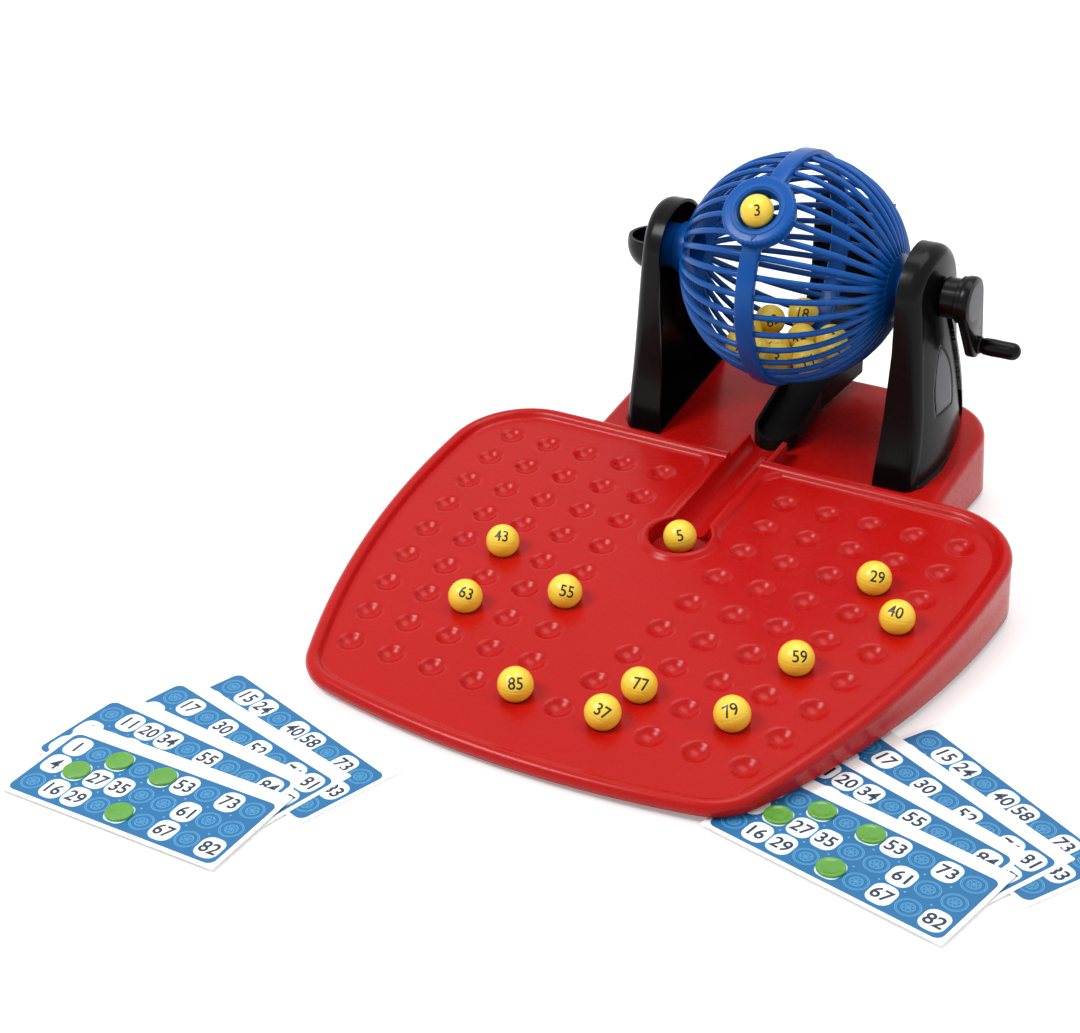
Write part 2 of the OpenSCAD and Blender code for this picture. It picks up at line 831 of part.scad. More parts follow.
module ball_board(i) {
    on_board() translate([seat_x(board_balls[i][0], board_balls[i][1]), seat_y(board_balls[i][0]), seat_c]) ball();
}

// Balls heaped in the bottom of the cage: one below, six round it, five of the next ring
module ball_cage(i) {
    reach = cage_in_r - ball_r - ball_ease;
    ring = 2 * asin((ball_r + ball_ease) / reach) * 1.03;
    polar = i == 0 ? 0 : i < 7 ? ring : 2 * ring;
    turn = i == 0 ? 0 : i < 7 ? 60 * i : 33 * (i - 9);
    on_axle() rotate([0, -10, 0]) rotate([0, 0, turn]) rotate([0, polar, 0]) translate([0, 0, -reach]) ball();
}

// Cards and counters
module card_place(i, right) {
    translate(right == 1 ? right_fan : left_fan) translate([0, 0, (3 - i) * card_level])
        rotate(right * fan_turn) translate(card_w * fan_spot_shares[i]) rotate(fan_turns[i]) children();
}

module card(i, right) {
    color("#f4f4f2") card_place(i, right) translate([-card_w / 2, -card_d / 2, 0]) cube([card_w, card_d, card_t]);
}

module counter(i, right) {
    cell = counter_cells[i];
    x = (cell[1] - 4) * cell_w;
    y = -card_d / 2 + cell_edge + (2.5 - cell[0]) * cell_d;
    color("#3caa46") card_place(0, right) translate([x, y, card_t + card_gap]) {
        cylinder(r = counter_d / 2 - counter_edge, h = counter_t);
        translate([0, 0, counter_edge]) cylinder(r = counter_d / 2, h = counter_t - 2 * counter_edge);
    }
}

in_set() tray_base();
in_set() left_stand();
in_set() right_stand();
in_set() loading_scoop();
in_set() ball_chute();
in_set() cage_left();
in_set() cage_right();
in_set() gate_ring();
in_set() crank();
in_set() ball_gate();
in_set() ball_drawn();
in_set() ball_board(0);  // ball_board_1
in_set() ball_board(1);  // ball_board_2
in_set() ball_board(2);  // ball_board_3
in_set() ball_board(3);  // ball_board_4
in_set() ball_board(4);  // ball_board_5
in_set() ball_board(5);  // ball_board_6
in_set() ball_board(6);  // ball_board_7
in_set() ball_board(7);  // ball_board_8
in_set() ball_board(8);  // ball_board_9
in_set() ball_board(9);  // ball_board_10
in_set() ball_cage(0);  // ball_cage_1
in_set() ball_cage(1);  // ball_cage_2
in_set() ball_cage(2);  // ball_cage_3
in_set() ball_cage(3);  // ball_cage_4
in_set() ball_cage(4);  // ball_cage_5
in_set() ball_cage(5);  // ball_cage_6
in_set() ball_cage(6);  // ball_cage_7
in_set() ball_cage(7);  // ball_cage_8
in_set() ball_cage(8);  // ball_cage_9
in_set() ball_cage(9);  // ball_cage_10
in_set() ball_cage(10);  // ball_cage_11
in_set() ball_cage(11);  // ball_cage_12
in_set() card(0, 0);  // card_left_1
in_set() card(1, 0);  // card_left_2
in_set() card(2, 0);  // card_left_3
in_set() card(3, 0);  // card_left_4
in_set() card(0, 1);  // card_right_1
in_set() card(1, 1);  // card_right_2
in_set() card(2, 1);  // card_right_3
in_set() card(3, 1);  // card_right_4
in_set() counter(0, 0);  // counter_left_1
in_set() counter(1, 0);  // counter_left_2
in_set() counter(2, 0);  // counter_left_3
in_set() counter(3, 0);  // counter_left_4
in_set() counter(0, 1);  // counter_right_1
in_set() counter(1, 1);  // counter_right_2
in_set() counter(2, 1);  // counter_right_3
in_set() counter(3, 1);  // counter_right_4
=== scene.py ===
# %% [markdown]
# # A bingo set with two fans of cards
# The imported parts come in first, as a frame that is never moved. Every piece below is built in the
# same frame, in metres, so a piece lands where the part it dresses already is.

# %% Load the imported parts
import math

import bmesh
import bpy
import numpy as np
from mathutils import Matrix, Vector, geometry


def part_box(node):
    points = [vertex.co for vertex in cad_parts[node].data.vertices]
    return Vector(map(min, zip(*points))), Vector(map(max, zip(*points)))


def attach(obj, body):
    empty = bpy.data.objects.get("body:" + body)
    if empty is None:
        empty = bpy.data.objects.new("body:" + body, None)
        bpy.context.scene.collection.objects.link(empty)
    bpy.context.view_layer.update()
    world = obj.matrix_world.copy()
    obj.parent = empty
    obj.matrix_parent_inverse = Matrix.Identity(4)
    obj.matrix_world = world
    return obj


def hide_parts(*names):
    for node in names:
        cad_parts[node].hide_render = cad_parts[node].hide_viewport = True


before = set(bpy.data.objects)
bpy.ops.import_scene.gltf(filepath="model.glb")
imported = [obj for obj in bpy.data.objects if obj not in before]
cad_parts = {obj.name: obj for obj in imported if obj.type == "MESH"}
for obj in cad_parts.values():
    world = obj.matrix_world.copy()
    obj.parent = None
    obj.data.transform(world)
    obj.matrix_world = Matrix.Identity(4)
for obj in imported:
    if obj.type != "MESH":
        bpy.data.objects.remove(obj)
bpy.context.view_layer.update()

# %% [markdown]
# Sizes are easier to read in millimetres, and the tray is easier to draw from the middle of its own
# front row of seats. So the pieces are drawn there, and one function moves the points to the frame.

# %% Places
MM = 1000.0
SET_X, SET_Y = 41.91, 98.91
TILT, BOARD_Z = math.radians(7), 11.0
DECK_TILT, DECK_Y, DECK_Z = math.radians(10), 252.0, 31.0
AXLE_Y, AXLE_Z = 285.0, 137.0


def to_frame(points):
    return (np.asarray(points, dtype=float) - (SET_X, SET_Y, 0.0)) / MM


def tilted(points, angle, y0, z0):
    p = np.asarray(points, dtype=float)
    y = y0 + p[:, 1] * math.cos(angle) - p[:, 2] * math.sin(angle)
    z = z0 + p[:, 1] * math.sin(angle) + p[:, 2] * math.cos(angle)
    return np.column_stack([p[:, 0], y, z])


def on_board(points):
    return tilted(points, TILT, 0.0, BOARD_Z)


def on_deck(points):
    return tilted(points, DECK_TILT, DECK_Y, DECK_Z)


print("front row of seats at", to_frame(on_board([[0, 0, 0]]))[0])

# %% [markdown]
# Most pieces start as lists of points and faces. This helper makes the mesh, merges points that
# coincide, turns the faces outwards, and keeps edges sharper than an angle crisp while the rest
# shades smoothly. The last lines tie the piece to its body and hide the part that it stands for.

# %% A helper that makes a piece
made = []


def piece(name, points, faces, finishes, body, node=None, slot=None, finish_of=None, sharp=32, turn=True):
    mesh = bpy.data.meshes.new(name)
    mesh.from_pydata([tuple(p) for p in to_frame(points)], [], [tuple(f) for f in faces])
    for finish in finishes:
        mesh.materials.append(finish)
    if finish_of is not None:
        mesh.polygons.foreach_set("material_index", finish_of)
    bm = bmesh.new()
    bm.from_mesh(mesh)
    bmesh.ops.remove_doubles(bm, verts=bm.verts, dist=1e-7)
    if turn:
        bmesh.ops.recalc_face_normals(bm, faces=bm.faces)
    bm.to_mesh(mesh)
    bm.free()
    mesh.shade_smooth()
    mesh.set_sharp_from_angle(angle=math.radians(sharp))
    return keep(mesh, name, body, node)


def keep(mesh, name, body, node=None):
    obj = bpy.data.objects.new(name, mesh)
    bpy.context.scene.collection.objects.link(obj)
    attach(obj, body)
    if node:
        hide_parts(node)
    made.append(name)
    return obj


def thickened(obj, thickness):
    """A wall on the inner side of a sheet, with its open borders kept crisp."""
    bm = bmesh.new()
    bm.from_mesh(obj.data)
    for edge in bm.edges:
        if edge.is_boundary:
            edge.smooth = False
    bm.to_mesh(obj.data)
    bm.free()
    wall = obj.modifiers.new("wall", "SOLIDIFY")
    wall.thickness, wall.offset = thickness, -1.0


def turned(profile, steps=48):
    """Points and faces of a shape turned about Z from a list of (radius, height)."""
    points, rows, faces = [], [], []
    angles = np.linspace(0, 2 * math.pi, steps, False)
    for r, z in profile:
        if r < 1e-9:
            rows.append([len(points)] * steps)
            points.append((0.0, 0.0, z))
        else:
            rows.append(list(range(len(points), len(points) + steps)))
            points += [(r * math.cos(t), r * math.sin(t), z) for t in angles]
    for a, b in zip(rows, rows[1:]):
        for i in range(steps):
            j = (i + 1) % steps
            face = list(dict.fromkeys([a[i], a[j], b[j], b[i]]))
            if len(face) > 2:
                faces.append(face)
    return np.array(points), faces


def joined(*shapes):
    """Several (points, faces) as one."""
    points, faces, start = [], [], 0
    for p, f in shapes:
        points.append(np.asarray(p, dtype=float))
        faces += [[i + start for i in face] for face in f]
        start += len(p)
    return np.vstack(points), faces


def between(rows, count, closed=True, start=0, flip=False):
    """Faces with four corners between each row of points and the next, with the same count in every row."""
    faces = []
    for k in range(rows - 1):
        for i in range(count if closed else count - 1):
            a, b = start + k * count + i, start + k * count + (i + 1) % count
            face = [a, b, b + count, a + count]
            faces.append(face[::-1] if flip else face)
    return faces


def face_towards(mesh, way):
    """Turns a sheet round if its faces look away from the direction given."""
    if sum(p.normal.dot(way) * p.area for p in mesh.polygons) < 0:
        mesh.flip_normals()


print("helpers ready")

# %% [markdown]
# ## Finishes
# Moulded plastic is never one flat colour: the pigment is slightly cloudy, the gloss is uneven, and a
# very fine grain breaks up the reflections. One node group makes these three for every plastic
# here, and each material places it with its own values.

# %% A node group for moulded plastic
def linear(r, g, b):
    """The light values that a shader needs for a colour as a screen shows it, from 0 to 255."""
    shown = [v / 255 for v in (r, g, b)]
    return tuple(v / 12.92 if v <= 0.04045 else ((v + 0.055) / 1.055) ** 2.4 for v in shown) + (1.0,)


def new_group(name, inputs, outputs):
    group = bpy.data.node_groups.new(name, "ShaderNodeTree")
    for label, kind, value in inputs:
        socket = group.interface.new_socket(label, in_out="INPUT", socket_type=kind)
        socket.default_value = value
    for label, kind in outputs:
        group.interface.new_socket(label, in_out="OUTPUT", socket_type=kind)
    return group, group.nodes.new("NodeGroupInput"), group.nodes.new("NodeGroupOutput")


def math_node(tree, operation, a, b):
    node = tree.nodes.new("ShaderNodeMath")
    node.operation = operation
    for socket, value in zip(node.inputs, (a, b)):
        if isinstance(value, (int, float)):
            socket.default_value = value
        else:
            tree.links.new(value, socket)
    return node.outputs[0]


def noise(tree, vector, scale, detail):
    node = tree.nodes.new("ShaderNodeTexNoise")
    node.inputs["Detail"].default_value = detail
    tree.links.new(vector, node.inputs["Vector"])
    if isinstance(scale, (int, float)):
        node.inputs["Scale"].default_value = scale
    else:
        tree.links.new(scale, node.inputs["Scale"])
    return node.outputs["Fac"]


def moulded_group():
    color, number = "NodeSocketColor", "NodeSocketFloat"
    group, inp, out = new_group(
        "moulded plastic",
        [("Colour", color, (0.5, 0.5, 0.5, 1)), ("Cloud", number, 0.06), ("Cloud Scale", number, 40.0),
         ("Gloss", number, 0.25), ("Gloss Spread", number, 0.1), ("Grain Scale", number, 2500.0)],
        [("Colour", color), ("Roughness", number), ("Grain", number)])
    where = group.nodes.new("ShaderNodeTexCoord").outputs["Object"]
    cloud = math_node(group, "SUBTRACT", noise(group, where, inp.outputs["Cloud Scale"], 3.0), 0.5)
    level = math_node(group, "ADD", 1.0, math_node(group, "MULTIPLY", cloud, inp.outputs["Cloud"]))
    tone = group.nodes.new("ShaderNodeHueSaturation")
    group.links.new(inp.outputs["Colour"], tone.inputs["Color"])
    group.links.new(level, tone.inputs["Value"])
    group.links.new(tone.outputs["Color"], out.inputs["Colour"])
    wear_scale = math_node(group, "MULTIPLY", inp.outputs["Cloud Scale"], WEAR_TO_CLOUD)
    wear = math_node(group, "SUBTRACT", noise(group, where, wear_scale, 5.0), 0.5)
    uneven = math_node(group, "MULTIPLY", wear, inp.outputs["Gloss Spread"])
    group.links.new(math_node(group, "ADD", inp.outputs["Gloss"], uneven), out.inputs["Roughness"])
    group.links.new(noise(group, where, inp.outputs["Grain Scale"], 2.0), out.inputs["Grain"])
    return group


WEAR_TO_CLOUD = 3.3
MOULDED = moulded_group()
GRAIN_DEPTH, COAT_ROUGHNESS, PLASTIC_IOR = 0.0002, 0.08, 1.46


def plastic(name, colour, gloss, spread, cloud, cloud_scale=40.0, grain=0.05, grain_scale=2500.0,
            coat=0.0, specular=0.5, transmission=0.0):
    material = bpy.data.materials.new(name)
    material.use_nodes = True
    tree = material.node_tree
    shader = tree.nodes["Principled BSDF"]
    group = tree.nodes.new("ShaderNodeGroup")
    group.node_tree = MOULDED
    for label, value in (("Colour", linear(*colour)), ("Cloud", cloud), ("Cloud Scale", cloud_scale),
                         ("Gloss", gloss), ("Gloss Spread", spread), ("Grain Scale", grain_scale)):
        group.inputs[label].default_value = value
    bump = tree.nodes.new("ShaderNodeBump")
    bump.inputs["Strength"].default_value = grain
    bump.inputs["Distance"].default_value = GRAIN_DEPTH
    tree.links.new(group.outputs["Colour"], shader.inputs["Base Color"])
    tree.links.new(group.outputs["Roughness"], shader.inputs["Roughness"])
    tree.links.new(group.outputs["Grain"], bump.inputs["Height"])
    tree.links.new(bump.outputs["Normal"], shader.inputs["Normal"])
    shader.inputs["Coat Weight"].default_value = coat
    shader.inputs["Coat Roughness"].default_value = COAT_ROUGHNESS
    shader.inputs["Specular IOR Level"].default_value = specular
    shader.inputs["Transmission Weight"].default_value = transmission
    shader.inputs["IOR"].default_value = PLASTIC_IOR
    return material


TRAY_RED = plastic("tray_red", (172, 13, 10), gloss=0.27, spread=0.1, cloud=0.1, coat=0.05, specular=0.18)
CAGE_BLUE = plastic("cage_blue", (4, 76, 152), gloss=0.3, spread=0.12, cloud=0.16, cloud_scale=60,
                    coat=0.05, specular=0.2)
STAND_BLACK = plastic("stand_black", (8, 8, 9), gloss=0.25, spread=0.12, cloud=0.3, coat=0.05, specular=0.12)
CHUTE_BLACK = plastic("chute_black", (14, 14, 15), gloss=0.33, spread=0.14, cloud=0.3,
                      coat=0.05, specular=0.15)
PANEL_GREY = plastic("panel_grey", (84, 84, 88), gloss=0.45, spread=0.1, cloud=0.12, specular=0.3)
BALL_YELLOW = plastic("ball_yellow", (238, 204, 60), gloss=0.3, spread=0.12, cloud=0.08,
                      cloud_scale=90, coat=0.1)
BALL_INK = plastic("ball_ink", (18, 17, 14), gloss=0.38, spread=0.1, cloud=0.3)
CARD_WHITE = plastic("card_white", (246, 247, 247), gloss=0.5, spread=0.15, cloud=0.03, cloud_scale=220,
                     grain=0.08, grain_scale=5200)
PRINT = {"gloss": 0.42, "spread": 0.12, "cloud_scale": 300}
PRINT_BLUE = plastic("print_blue", (24, 102, 152), cloud=0.1, **PRINT)
PRINT_PALE = plastic("print_pale", (92, 166, 212), cloud=0.1, **PRINT)
PRINT_NAVY = plastic("print_navy", (14, 44, 68), cloud=0.2, **PRINT)
COUNTER_GREEN = plastic("counter_green", (112, 184, 72), gloss=0.16, spread=0.08, cloud=0.3, cloud_scale=160,
                        coat=0.05, transmission=0.4)
print(len(bpy.data.materials), "finishes")

# %% [markdown]
# ## The photographer's table
# The set is seen from above the front right corner with a long lens. The background is pure white,
# so the floor glows a little wherever it is looked at: by the camera, in a reflection or through a
# clear piece. That glow lights nothing else, so the floor still takes the soft shadows.

# %% Camera, light and floor
CAMERA_AT = Vector((0.384746, -0.779311, 0.550425))
RIGHT = Vector((0.85532614, 0.51765283, -0.02127755))
DOWN = Vector((0.23170169, -0.41893195, -0.87795806))
AHEAD = Vector((-0.46339132, 0.74601043, -0.47826448))
SENSOR_W, PHOTO_W, FOCAL_PIXELS = 36.0, 1080.0, 1976.7
lens = bpy.data.cameras.new("photo_camera")
lens.sensor_width = SENSOR_W
lens.lens = SENSOR_W * FOCAL_PIXELS / PHOTO_W
lens.clip_start, lens.clip_end = 0.05, 20.0
camera = bpy.data.objects.new("photo_camera", lens)
facing = Matrix((RIGHT, -DOWN, -AHEAD)).transposed().to_4x4()
camera.matrix_world = Matrix.Translation(CAMERA_AT) @ facing
bpy.context.scene.collection.objects.link(camera)
bpy.context.scene.camera = camera
bpy.context.scene.view_settings.view_transform = "Standard"


def softbox(name, place, target, size, watts):
    lamp = bpy.data.lights.new(name, "AREA")
    lamp.shape, lamp.size, lamp.size_y = "RECTANGLE", size[0], size[1]
    lamp.energy = watts
    obj = bpy.data.objects.new(name, lamp)
    obj.location = place
    obj.rotation_euler = (Vector(target) - Vector(place)).to_track_quat("-Z", "Y").to_euler()
    bpy.context.scene.collection.objects.link(obj)
    return obj


softbox("key_left", (-0.75, -0.75, 1.25), (0, 0.05, 0.03), (0.55, 0.55), 17)
softbox("top_sheet", (0.1, 0.35, 1.6), (0, 0.05, 0.0), (1.2, 0.9), 13)
softbox("right_fill", (1.35, 0.1, 0.8), (0, 0.05, 0.05), (0.7, 1.0), 6).visible_glossy = False


def seen_directly(tree):
    """1 for what the camera, a reflection or a see-through piece shows, 0 for light that falls on surfaces."""
    path = tree.nodes.new("ShaderNodeLightPath")
    looked_at = math_node(tree, "MAXIMUM", path.outputs["Is Camera Ray"], path.outputs["Is Transmission Ray"])
    return math_node(tree, "MAXIMUM", looked_at, path.outputs["Is Glossy Ray"])


ROOM_LIGHT = 0.42
world = bpy.data.worlds.new("white_room")
bpy.context.scene.world = world
world.use_nodes = True
tree = world.node_tree
sky = tree.nodes["Background"]
sky.inputs["Color"].default_value = (1, 1, 1, 1)
shown = math_node(tree, "MULTIPLY", 1.0 - ROOM_LIGHT, seen_directly(tree))
tree.links.new(math_node(tree, "ADD", ROOM_LIGHT, shown), sky.inputs["Strength"])

FLOOR_TONE, FLOOR_GLOW, GLOW_GROWS_FROM = 0.86, 0.24, 0.55
FLOOR_HALF, FLOOR_Z = 6.0, -0.0003
floor_white = bpy.data.materials.new("floor_white")
floor_white.use_nodes = True
tree = floor_white.node_tree
shader = tree.nodes["Principled BSDF"]
shader.inputs["Base Color"].default_value = (FLOOR_TONE, FLOOR_TONE, FLOOR_TONE, 1)
shader.inputs["Roughness"].default_value = 0.9
shader.inputs["Specular IOR Level"].default_value = 0.0
shader.inputs["Emission Color"].default_value = (1, 1, 1, 1)
length = tree.nodes.new("ShaderNodeVectorMath")
length.operation = "LENGTH"
tree.links.new(tree.nodes.new("ShaderNodeTexCoord").outputs["Object"], length.inputs[0])
beyond = math_node(tree, "SUBTRACT", length.outputs["Value"], GLOW_GROWS_FROM)
far = math_node(tree, "MINIMUM", math_node(tree, "MAXIMUM", beyond, 0.0), 1.0)
glow = math_node(tree, "ADD", FLOOR_GLOW, far)
tree.links.new(math_node(tree, "MULTIPLY", glow, seen_directly(tree)), shader.inputs["Emission Strength"])
mesh = bpy.data.meshes.new("floor")
corners = [(x * FLOOR_HALF, y * FLOOR_HALF, FLOOR_Z) for x, y in ((-1, -1), (1, -1), (1, 1), (-1, 1))]
mesh.from_pydata(corners, [], [(0, 1, 2, 3)])
mesh.materials.append(floor_white)
floor = bpy.data.objects.new("floor", mesh)
bpy.context.scene.collection.objects.link(floor)
print("camera at", tuple(CAMERA_AT), "with a lens of", round(lens.lens, 1), "mm")

# %% [markdown]
# ## Printed digits
# The numbers on the balls and cards are flat shapes. A text object gives the outlines of any number,
# and its filled mesh is kept as plain points and faces, which can then be laid on a card or bent
# round a ball.

# %% Flat numbers
def flat_number(text, height, widen=1.0, weight=0.0):
    curve = bpy.data.curves.new("digits", "FONT")
    curve.body, curve.size, curve.offset, curve.resolution_u = text, 1.0, weight, 5
    obj = bpy.data.objects.new("digits", curve)
    bpy.context.scene.collection.objects.link(obj)
    bpy.context.view_layer.update()
    mesh = bpy.data.meshes.new_from_object(obj.evaluated_get(bpy.context.evaluated_depsgraph_get()))
    points = np.array([v.co[:2] for v in mesh.vertices])
    faces = [list(p.vertices) for p in mesh.polygons]
    bpy.data.objects.remove(obj)
    bpy.data.curves.remove(curve)
    bpy.data.meshes.remove(mesh)
    low, high = points.min(axis=0), points.max(axis=0)
    points = (points - (low + high) / 2) * height / (high[1] - low[1])
    points[:, 0] *= widen
    return points, faces


def finely_cut(points, faces, longest):
    """The same flat shape with no edge longer than the length given, so that it can be bent."""
    bm = bmesh.new()
    corners = [bm.verts.new((p[0], p[1], 0)) for p in points]
    for face in faces:
        try:
            bm.faces.new([corners[i] for i in face])
        except ValueError:
            pass
    for _ in range(6):
        bmesh.ops.triangulate(bm, faces=bm.faces)
        long_edges = [e for e in bm.edges if e.calc_length() > longest]
        if not long_edges:
            break
        bmesh.ops.subdivide_edges(bm, edges=long_edges, cuts=1)
    bmesh.ops.triangulate(bm, faces=bm.faces)
    bm.verts.index_update()
    points = np.array([v.co[:2] for v in bm.verts])
    faces = [[v.index for v in f.verts] for f in bm.faces]
    bm.free()
    return points, faces


print("a number has", len(flat_number("43", 6.0)[1]), "faces")

# %% [markdown]
# ## Balls
# Each ball is a hollow shell pressed from two halves, so a fine seam runs round it. The profile of the
# ball has that seam as a small groove and is turned about its axis. The number is wrapped round the
# ball by walking from the middle of the number along the surface, which keeps its true size.

# %% The numbered balls
BALL_R = 9.0
SEAM = [(90 - 2.0, 0.0), (90 - 0.7, -0.07), (90 + 0.7, -0.07), (90 + 2.0, 0.0)]


def ball_shell():
    angles = [(a, 0.0) for a in np.linspace(0, 84, 15)] + SEAM + [(a, 0.0) for a in np.linspace(96, 180, 15)]
    bends = [(math.radians(a), BALL_R + d) for a, d in angles]
    profile = [(r * math.sin(a), -r * math.cos(a)) for a, r in bends]
    profile[0], profile[-1] = (0.0, -BALL_R), (0.0, BALL_R)
    return turned(profile)


SHELL = ball_shell()


BALL_NUMBER = {"height": 6.3, "widen": 0.92, "weight": 0.012}
LONGEST_EDGE, INK_LIFT, SEAM_LEAN = 1.1, 0.035, 1.7
CAMERA_MM = CAMERA_AT * MM + Vector((SET_X, SET_Y, 0))


def middle_of(node):
    """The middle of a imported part, in the tray's millimetres."""
    low, high = (np.array(v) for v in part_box(node))
    return (low + high) / 2 * MM + (SET_X, SET_Y, 0)


def ball(node, body, label, lean, turn):
    centre = middle_of(node)
    out = (CAMERA_MM - Vector(centre)).normalized()
    out = (out + RIGHT * lean[0] - DOWN * lean[1]).normalized()
    up = (-DOWN - out * (-DOWN).dot(out)).normalized()
    side = up.cross(out)
    c, s = math.cos(turn), math.sin(turn)
    side, up = side * c + up * s, up * c - side * s
    flat, faces = finely_cut(*flat_number(label, **BALL_NUMBER), LONGEST_EDGE)
    reach = np.linalg.norm(flat, axis=1)
    angle = reach / BALL_R
    along = np.outer(flat[:, 0], side) + np.outer(flat[:, 1], up)
    ink = np.outer(np.cos(angle), out) + along * (np.sin(angle) / np.maximum(reach, 1e-9))[:, None]
    seam_axis = (out + up * SEAM_LEAN).normalized().to_track_quat("Z", "Y").to_matrix()
    shell = SHELL[0] @ np.array(seam_axis).T
    points, all_faces = joined((shell + centre, SHELL[1]), (ink * (BALL_R + INK_LIFT) + centre, faces))
    marks = [0] * len(SHELL[1]) + [1] * len(faces)
    piece(node + "_shell", points, all_faces, [BALL_YELLOW, BALL_INK], body, node, "ball", marks, sharp=60)


board_labels = [
    ("43", (-0.1, 0.34), -0.1), ("63", (0.05, 0.2), -0.35), ("55", (0.12, 0.0), -0.2), ("85", (0.0, 0.05), 0.0),
    ("37", (0.0, 0.05), -0.5), ("77", (0.1, 0.05), -0.2), ("79", (-0.1, 0.2), 0.4), ("59", (0.2, 0.1), -0.05),
    ("40", (-0.1, 0.35), -0.3), ("29", (0.2, 0.08), -0.2)]
for i, (label, lean, turn) in enumerate(board_labels, 1):
    ball("ball_board_%d" % i, "board_ball_%d" % i, label, lean, turn)
ball("ball_drawn", "drawn_ball", "5", (0.0, 0.05), 0.25)
ball("ball_gate", "gate_ball", "3", (0.0, 0.05), 0.05)
cage_labels = ["44", "3", "14", "5", "71", "24", "66", "18", "82", "31", "90", "12"]
for i, label in enumerate(cage_labels, 1):
    lean = 0.15 * math.sin(5.1 * i), 0.15 * math.cos(3.7 * i)
    ball("ball_cage_%d" % i, "frame", label, lean, 0.5 * math.sin(2.3 * i))
print(len(made), "balls")

# %% [markdown]
# ## Cards
# A card is a thin white board with a printed panel of three rows of nine cells. The print is a
# handful of flat shapes laid a few thousandths of a millimetre apart, so that each keeps a crisp
# edge at any size. The header band of the card stays bare.

# %% Shapes of the print
CARD_W, CARD_D, CARD_T, CARD_STEP = 126.0, 60.0, 0.5, 0.56
CELL_W, CELL_D, CELL_EDGE = 13.15, 15.5, 4.0
PETALS, PETAL_OUT = 6, 1.55


def rounded(cx, cy, w, d, r, steps=6):
    points = []
    for sx, sy, a0 in ((1, 1, 0), (-1, 1, 90), (-1, -1, 180), (1, -1, 270)):
        x, y = cx + sx * (w / 2 - r), cy + sy * (d / 2 - r)
        bend = np.radians(np.linspace(a0, a0 + 90, steps))
        points += [(x + r * math.cos(a), y + r * math.sin(a)) for a in bend]
    return np.array(points), [list(range(len(points)))]


def ring(cx, cy, r, width, steps=28):
    t = np.linspace(0, 2 * math.pi, steps, False)
    loop = np.column_stack([np.cos(t), np.sin(t)])
    points = np.vstack([(r + width / 2) * loop, (r - width / 2) * loop]) + (cx, cy)
    return points, between(2, steps)


def rosette(cx, cy):
    shapes = [ring(cx, cy, 5.75, 0.3), ring(cx, cy, 5.05, 0.22), ring(cx, cy, 3.1, 0.25, 20)]
    for k in range(PETALS):
        a = math.radians(360 / PETALS * k)
        shapes.append(ring(cx + PETAL_OUT * math.cos(a), cy + PETAL_OUT * math.sin(a), 1.2, 0.2, 12))
    return shapes


print("a rosette has", sum(len(f) for _, f in rosette(0, 0)), "faces")

# %% [markdown]
# The two fans lie on the table in the same order, and the right one is turned a little further. One table
# of numbers serves both. Each card is built flat, then turned and shifted to its place in its fan. A
# texture could carry the print, but shapes stay sharp in a close view.

# %% The cards of both fans
cards = [
    [[1, 0, 21, 0, 45, 53, 0, 73, 0], [4, 12, 27, 35, 0, 0, 61, 0, 0], [0, 16, 29, 0, 48, 0, 67, 0, 82]],
    [[0, 11, 20, 34, 0, 55, 0, 0, 84], [2, 0, 26, 0, 43, 0, 66, 0, 88], [5, 18, 0, 37, 0, 57, 62, 0, 0]],
    [[0, 17, 0, 30, 0, 52, 0, 76, 81], [3, 0, 22, 0, 44, 0, 63, 0, 87], [9, 14, 0, 38, 0, 0, 68, 75, 0]],
    [[0, 15, 24, 0, 40, 58, 0, 73, 0], [7, 0, 0, 31, 47, 0, 64, 0, 83], [0, 19, 28, 36, 0, 50, 0, 77, 0]],
]
FAN = np.array((-126.5, -143.5))
FAN_STEP = np.array((301.9997, 123.4976))
FAN_TURN = -12.0
turns = [1.0, -5.0, -13.5, -17.0]
spots = np.array([[0, 0], [-0.054, 0.193], [0.055, 0.356], [0.194, 0.513]]) * CARD_W
PRINTED_AREA = (0, -3.0, 121.5, 49.5, 4.0)
BUBBLE, BUBBLE_INSIDE, DOT = (12.7, 14.7, 5.0), (12.2, 14.2, 4.8), (1.1, 1.1, 0.54, 3)
CARD_NUMBER = {"height": 7.9, "widen": 0.94, "weight": 0.022}
LAYER = 0.008
numbers = {}


def spun(points, degrees):
    c, s = math.cos(math.radians(degrees)), math.sin(math.radians(degrees))
    return np.column_stack([points[:, 0] * c - points[:, 1] * s, points[:, 0] * s + points[:, 1] * c])


def cell_middle(row, column):
    return (column - 4) * CELL_W, -CARD_D / 2 + CELL_EDGE + (2.5 - row) * CELL_D


def card_print(table):
    """Layers of flat shapes as (finish number, level, points, faces)."""
    layers = [(1, 1, *rounded(*PRINTED_AREA))]
    for row in range(3):
        for column in range(9):
            x, y = cell_middle(row, column)
            number = table[row][column]
            if number:
                layers.append((2, 2, *rounded(x, y, *BUBBLE)))
                layers.append((0, 3, *rounded(x, y, *BUBBLE_INSIDE)))
                if number not in numbers:
                    numbers[number] = flat_number(str(number), **CARD_NUMBER)
                flat, faces = numbers[number]
                layers.append((3, 4, flat + (x, y), faces))
            else:
                layers += [(2, 2, *shape) for shape in rosette(x, y)]
            if row < 2 and column < 8:
                layers.append((2, 2, *rounded(x + CELL_W / 2, y - CELL_D / 2, *DOT)))
    return layers


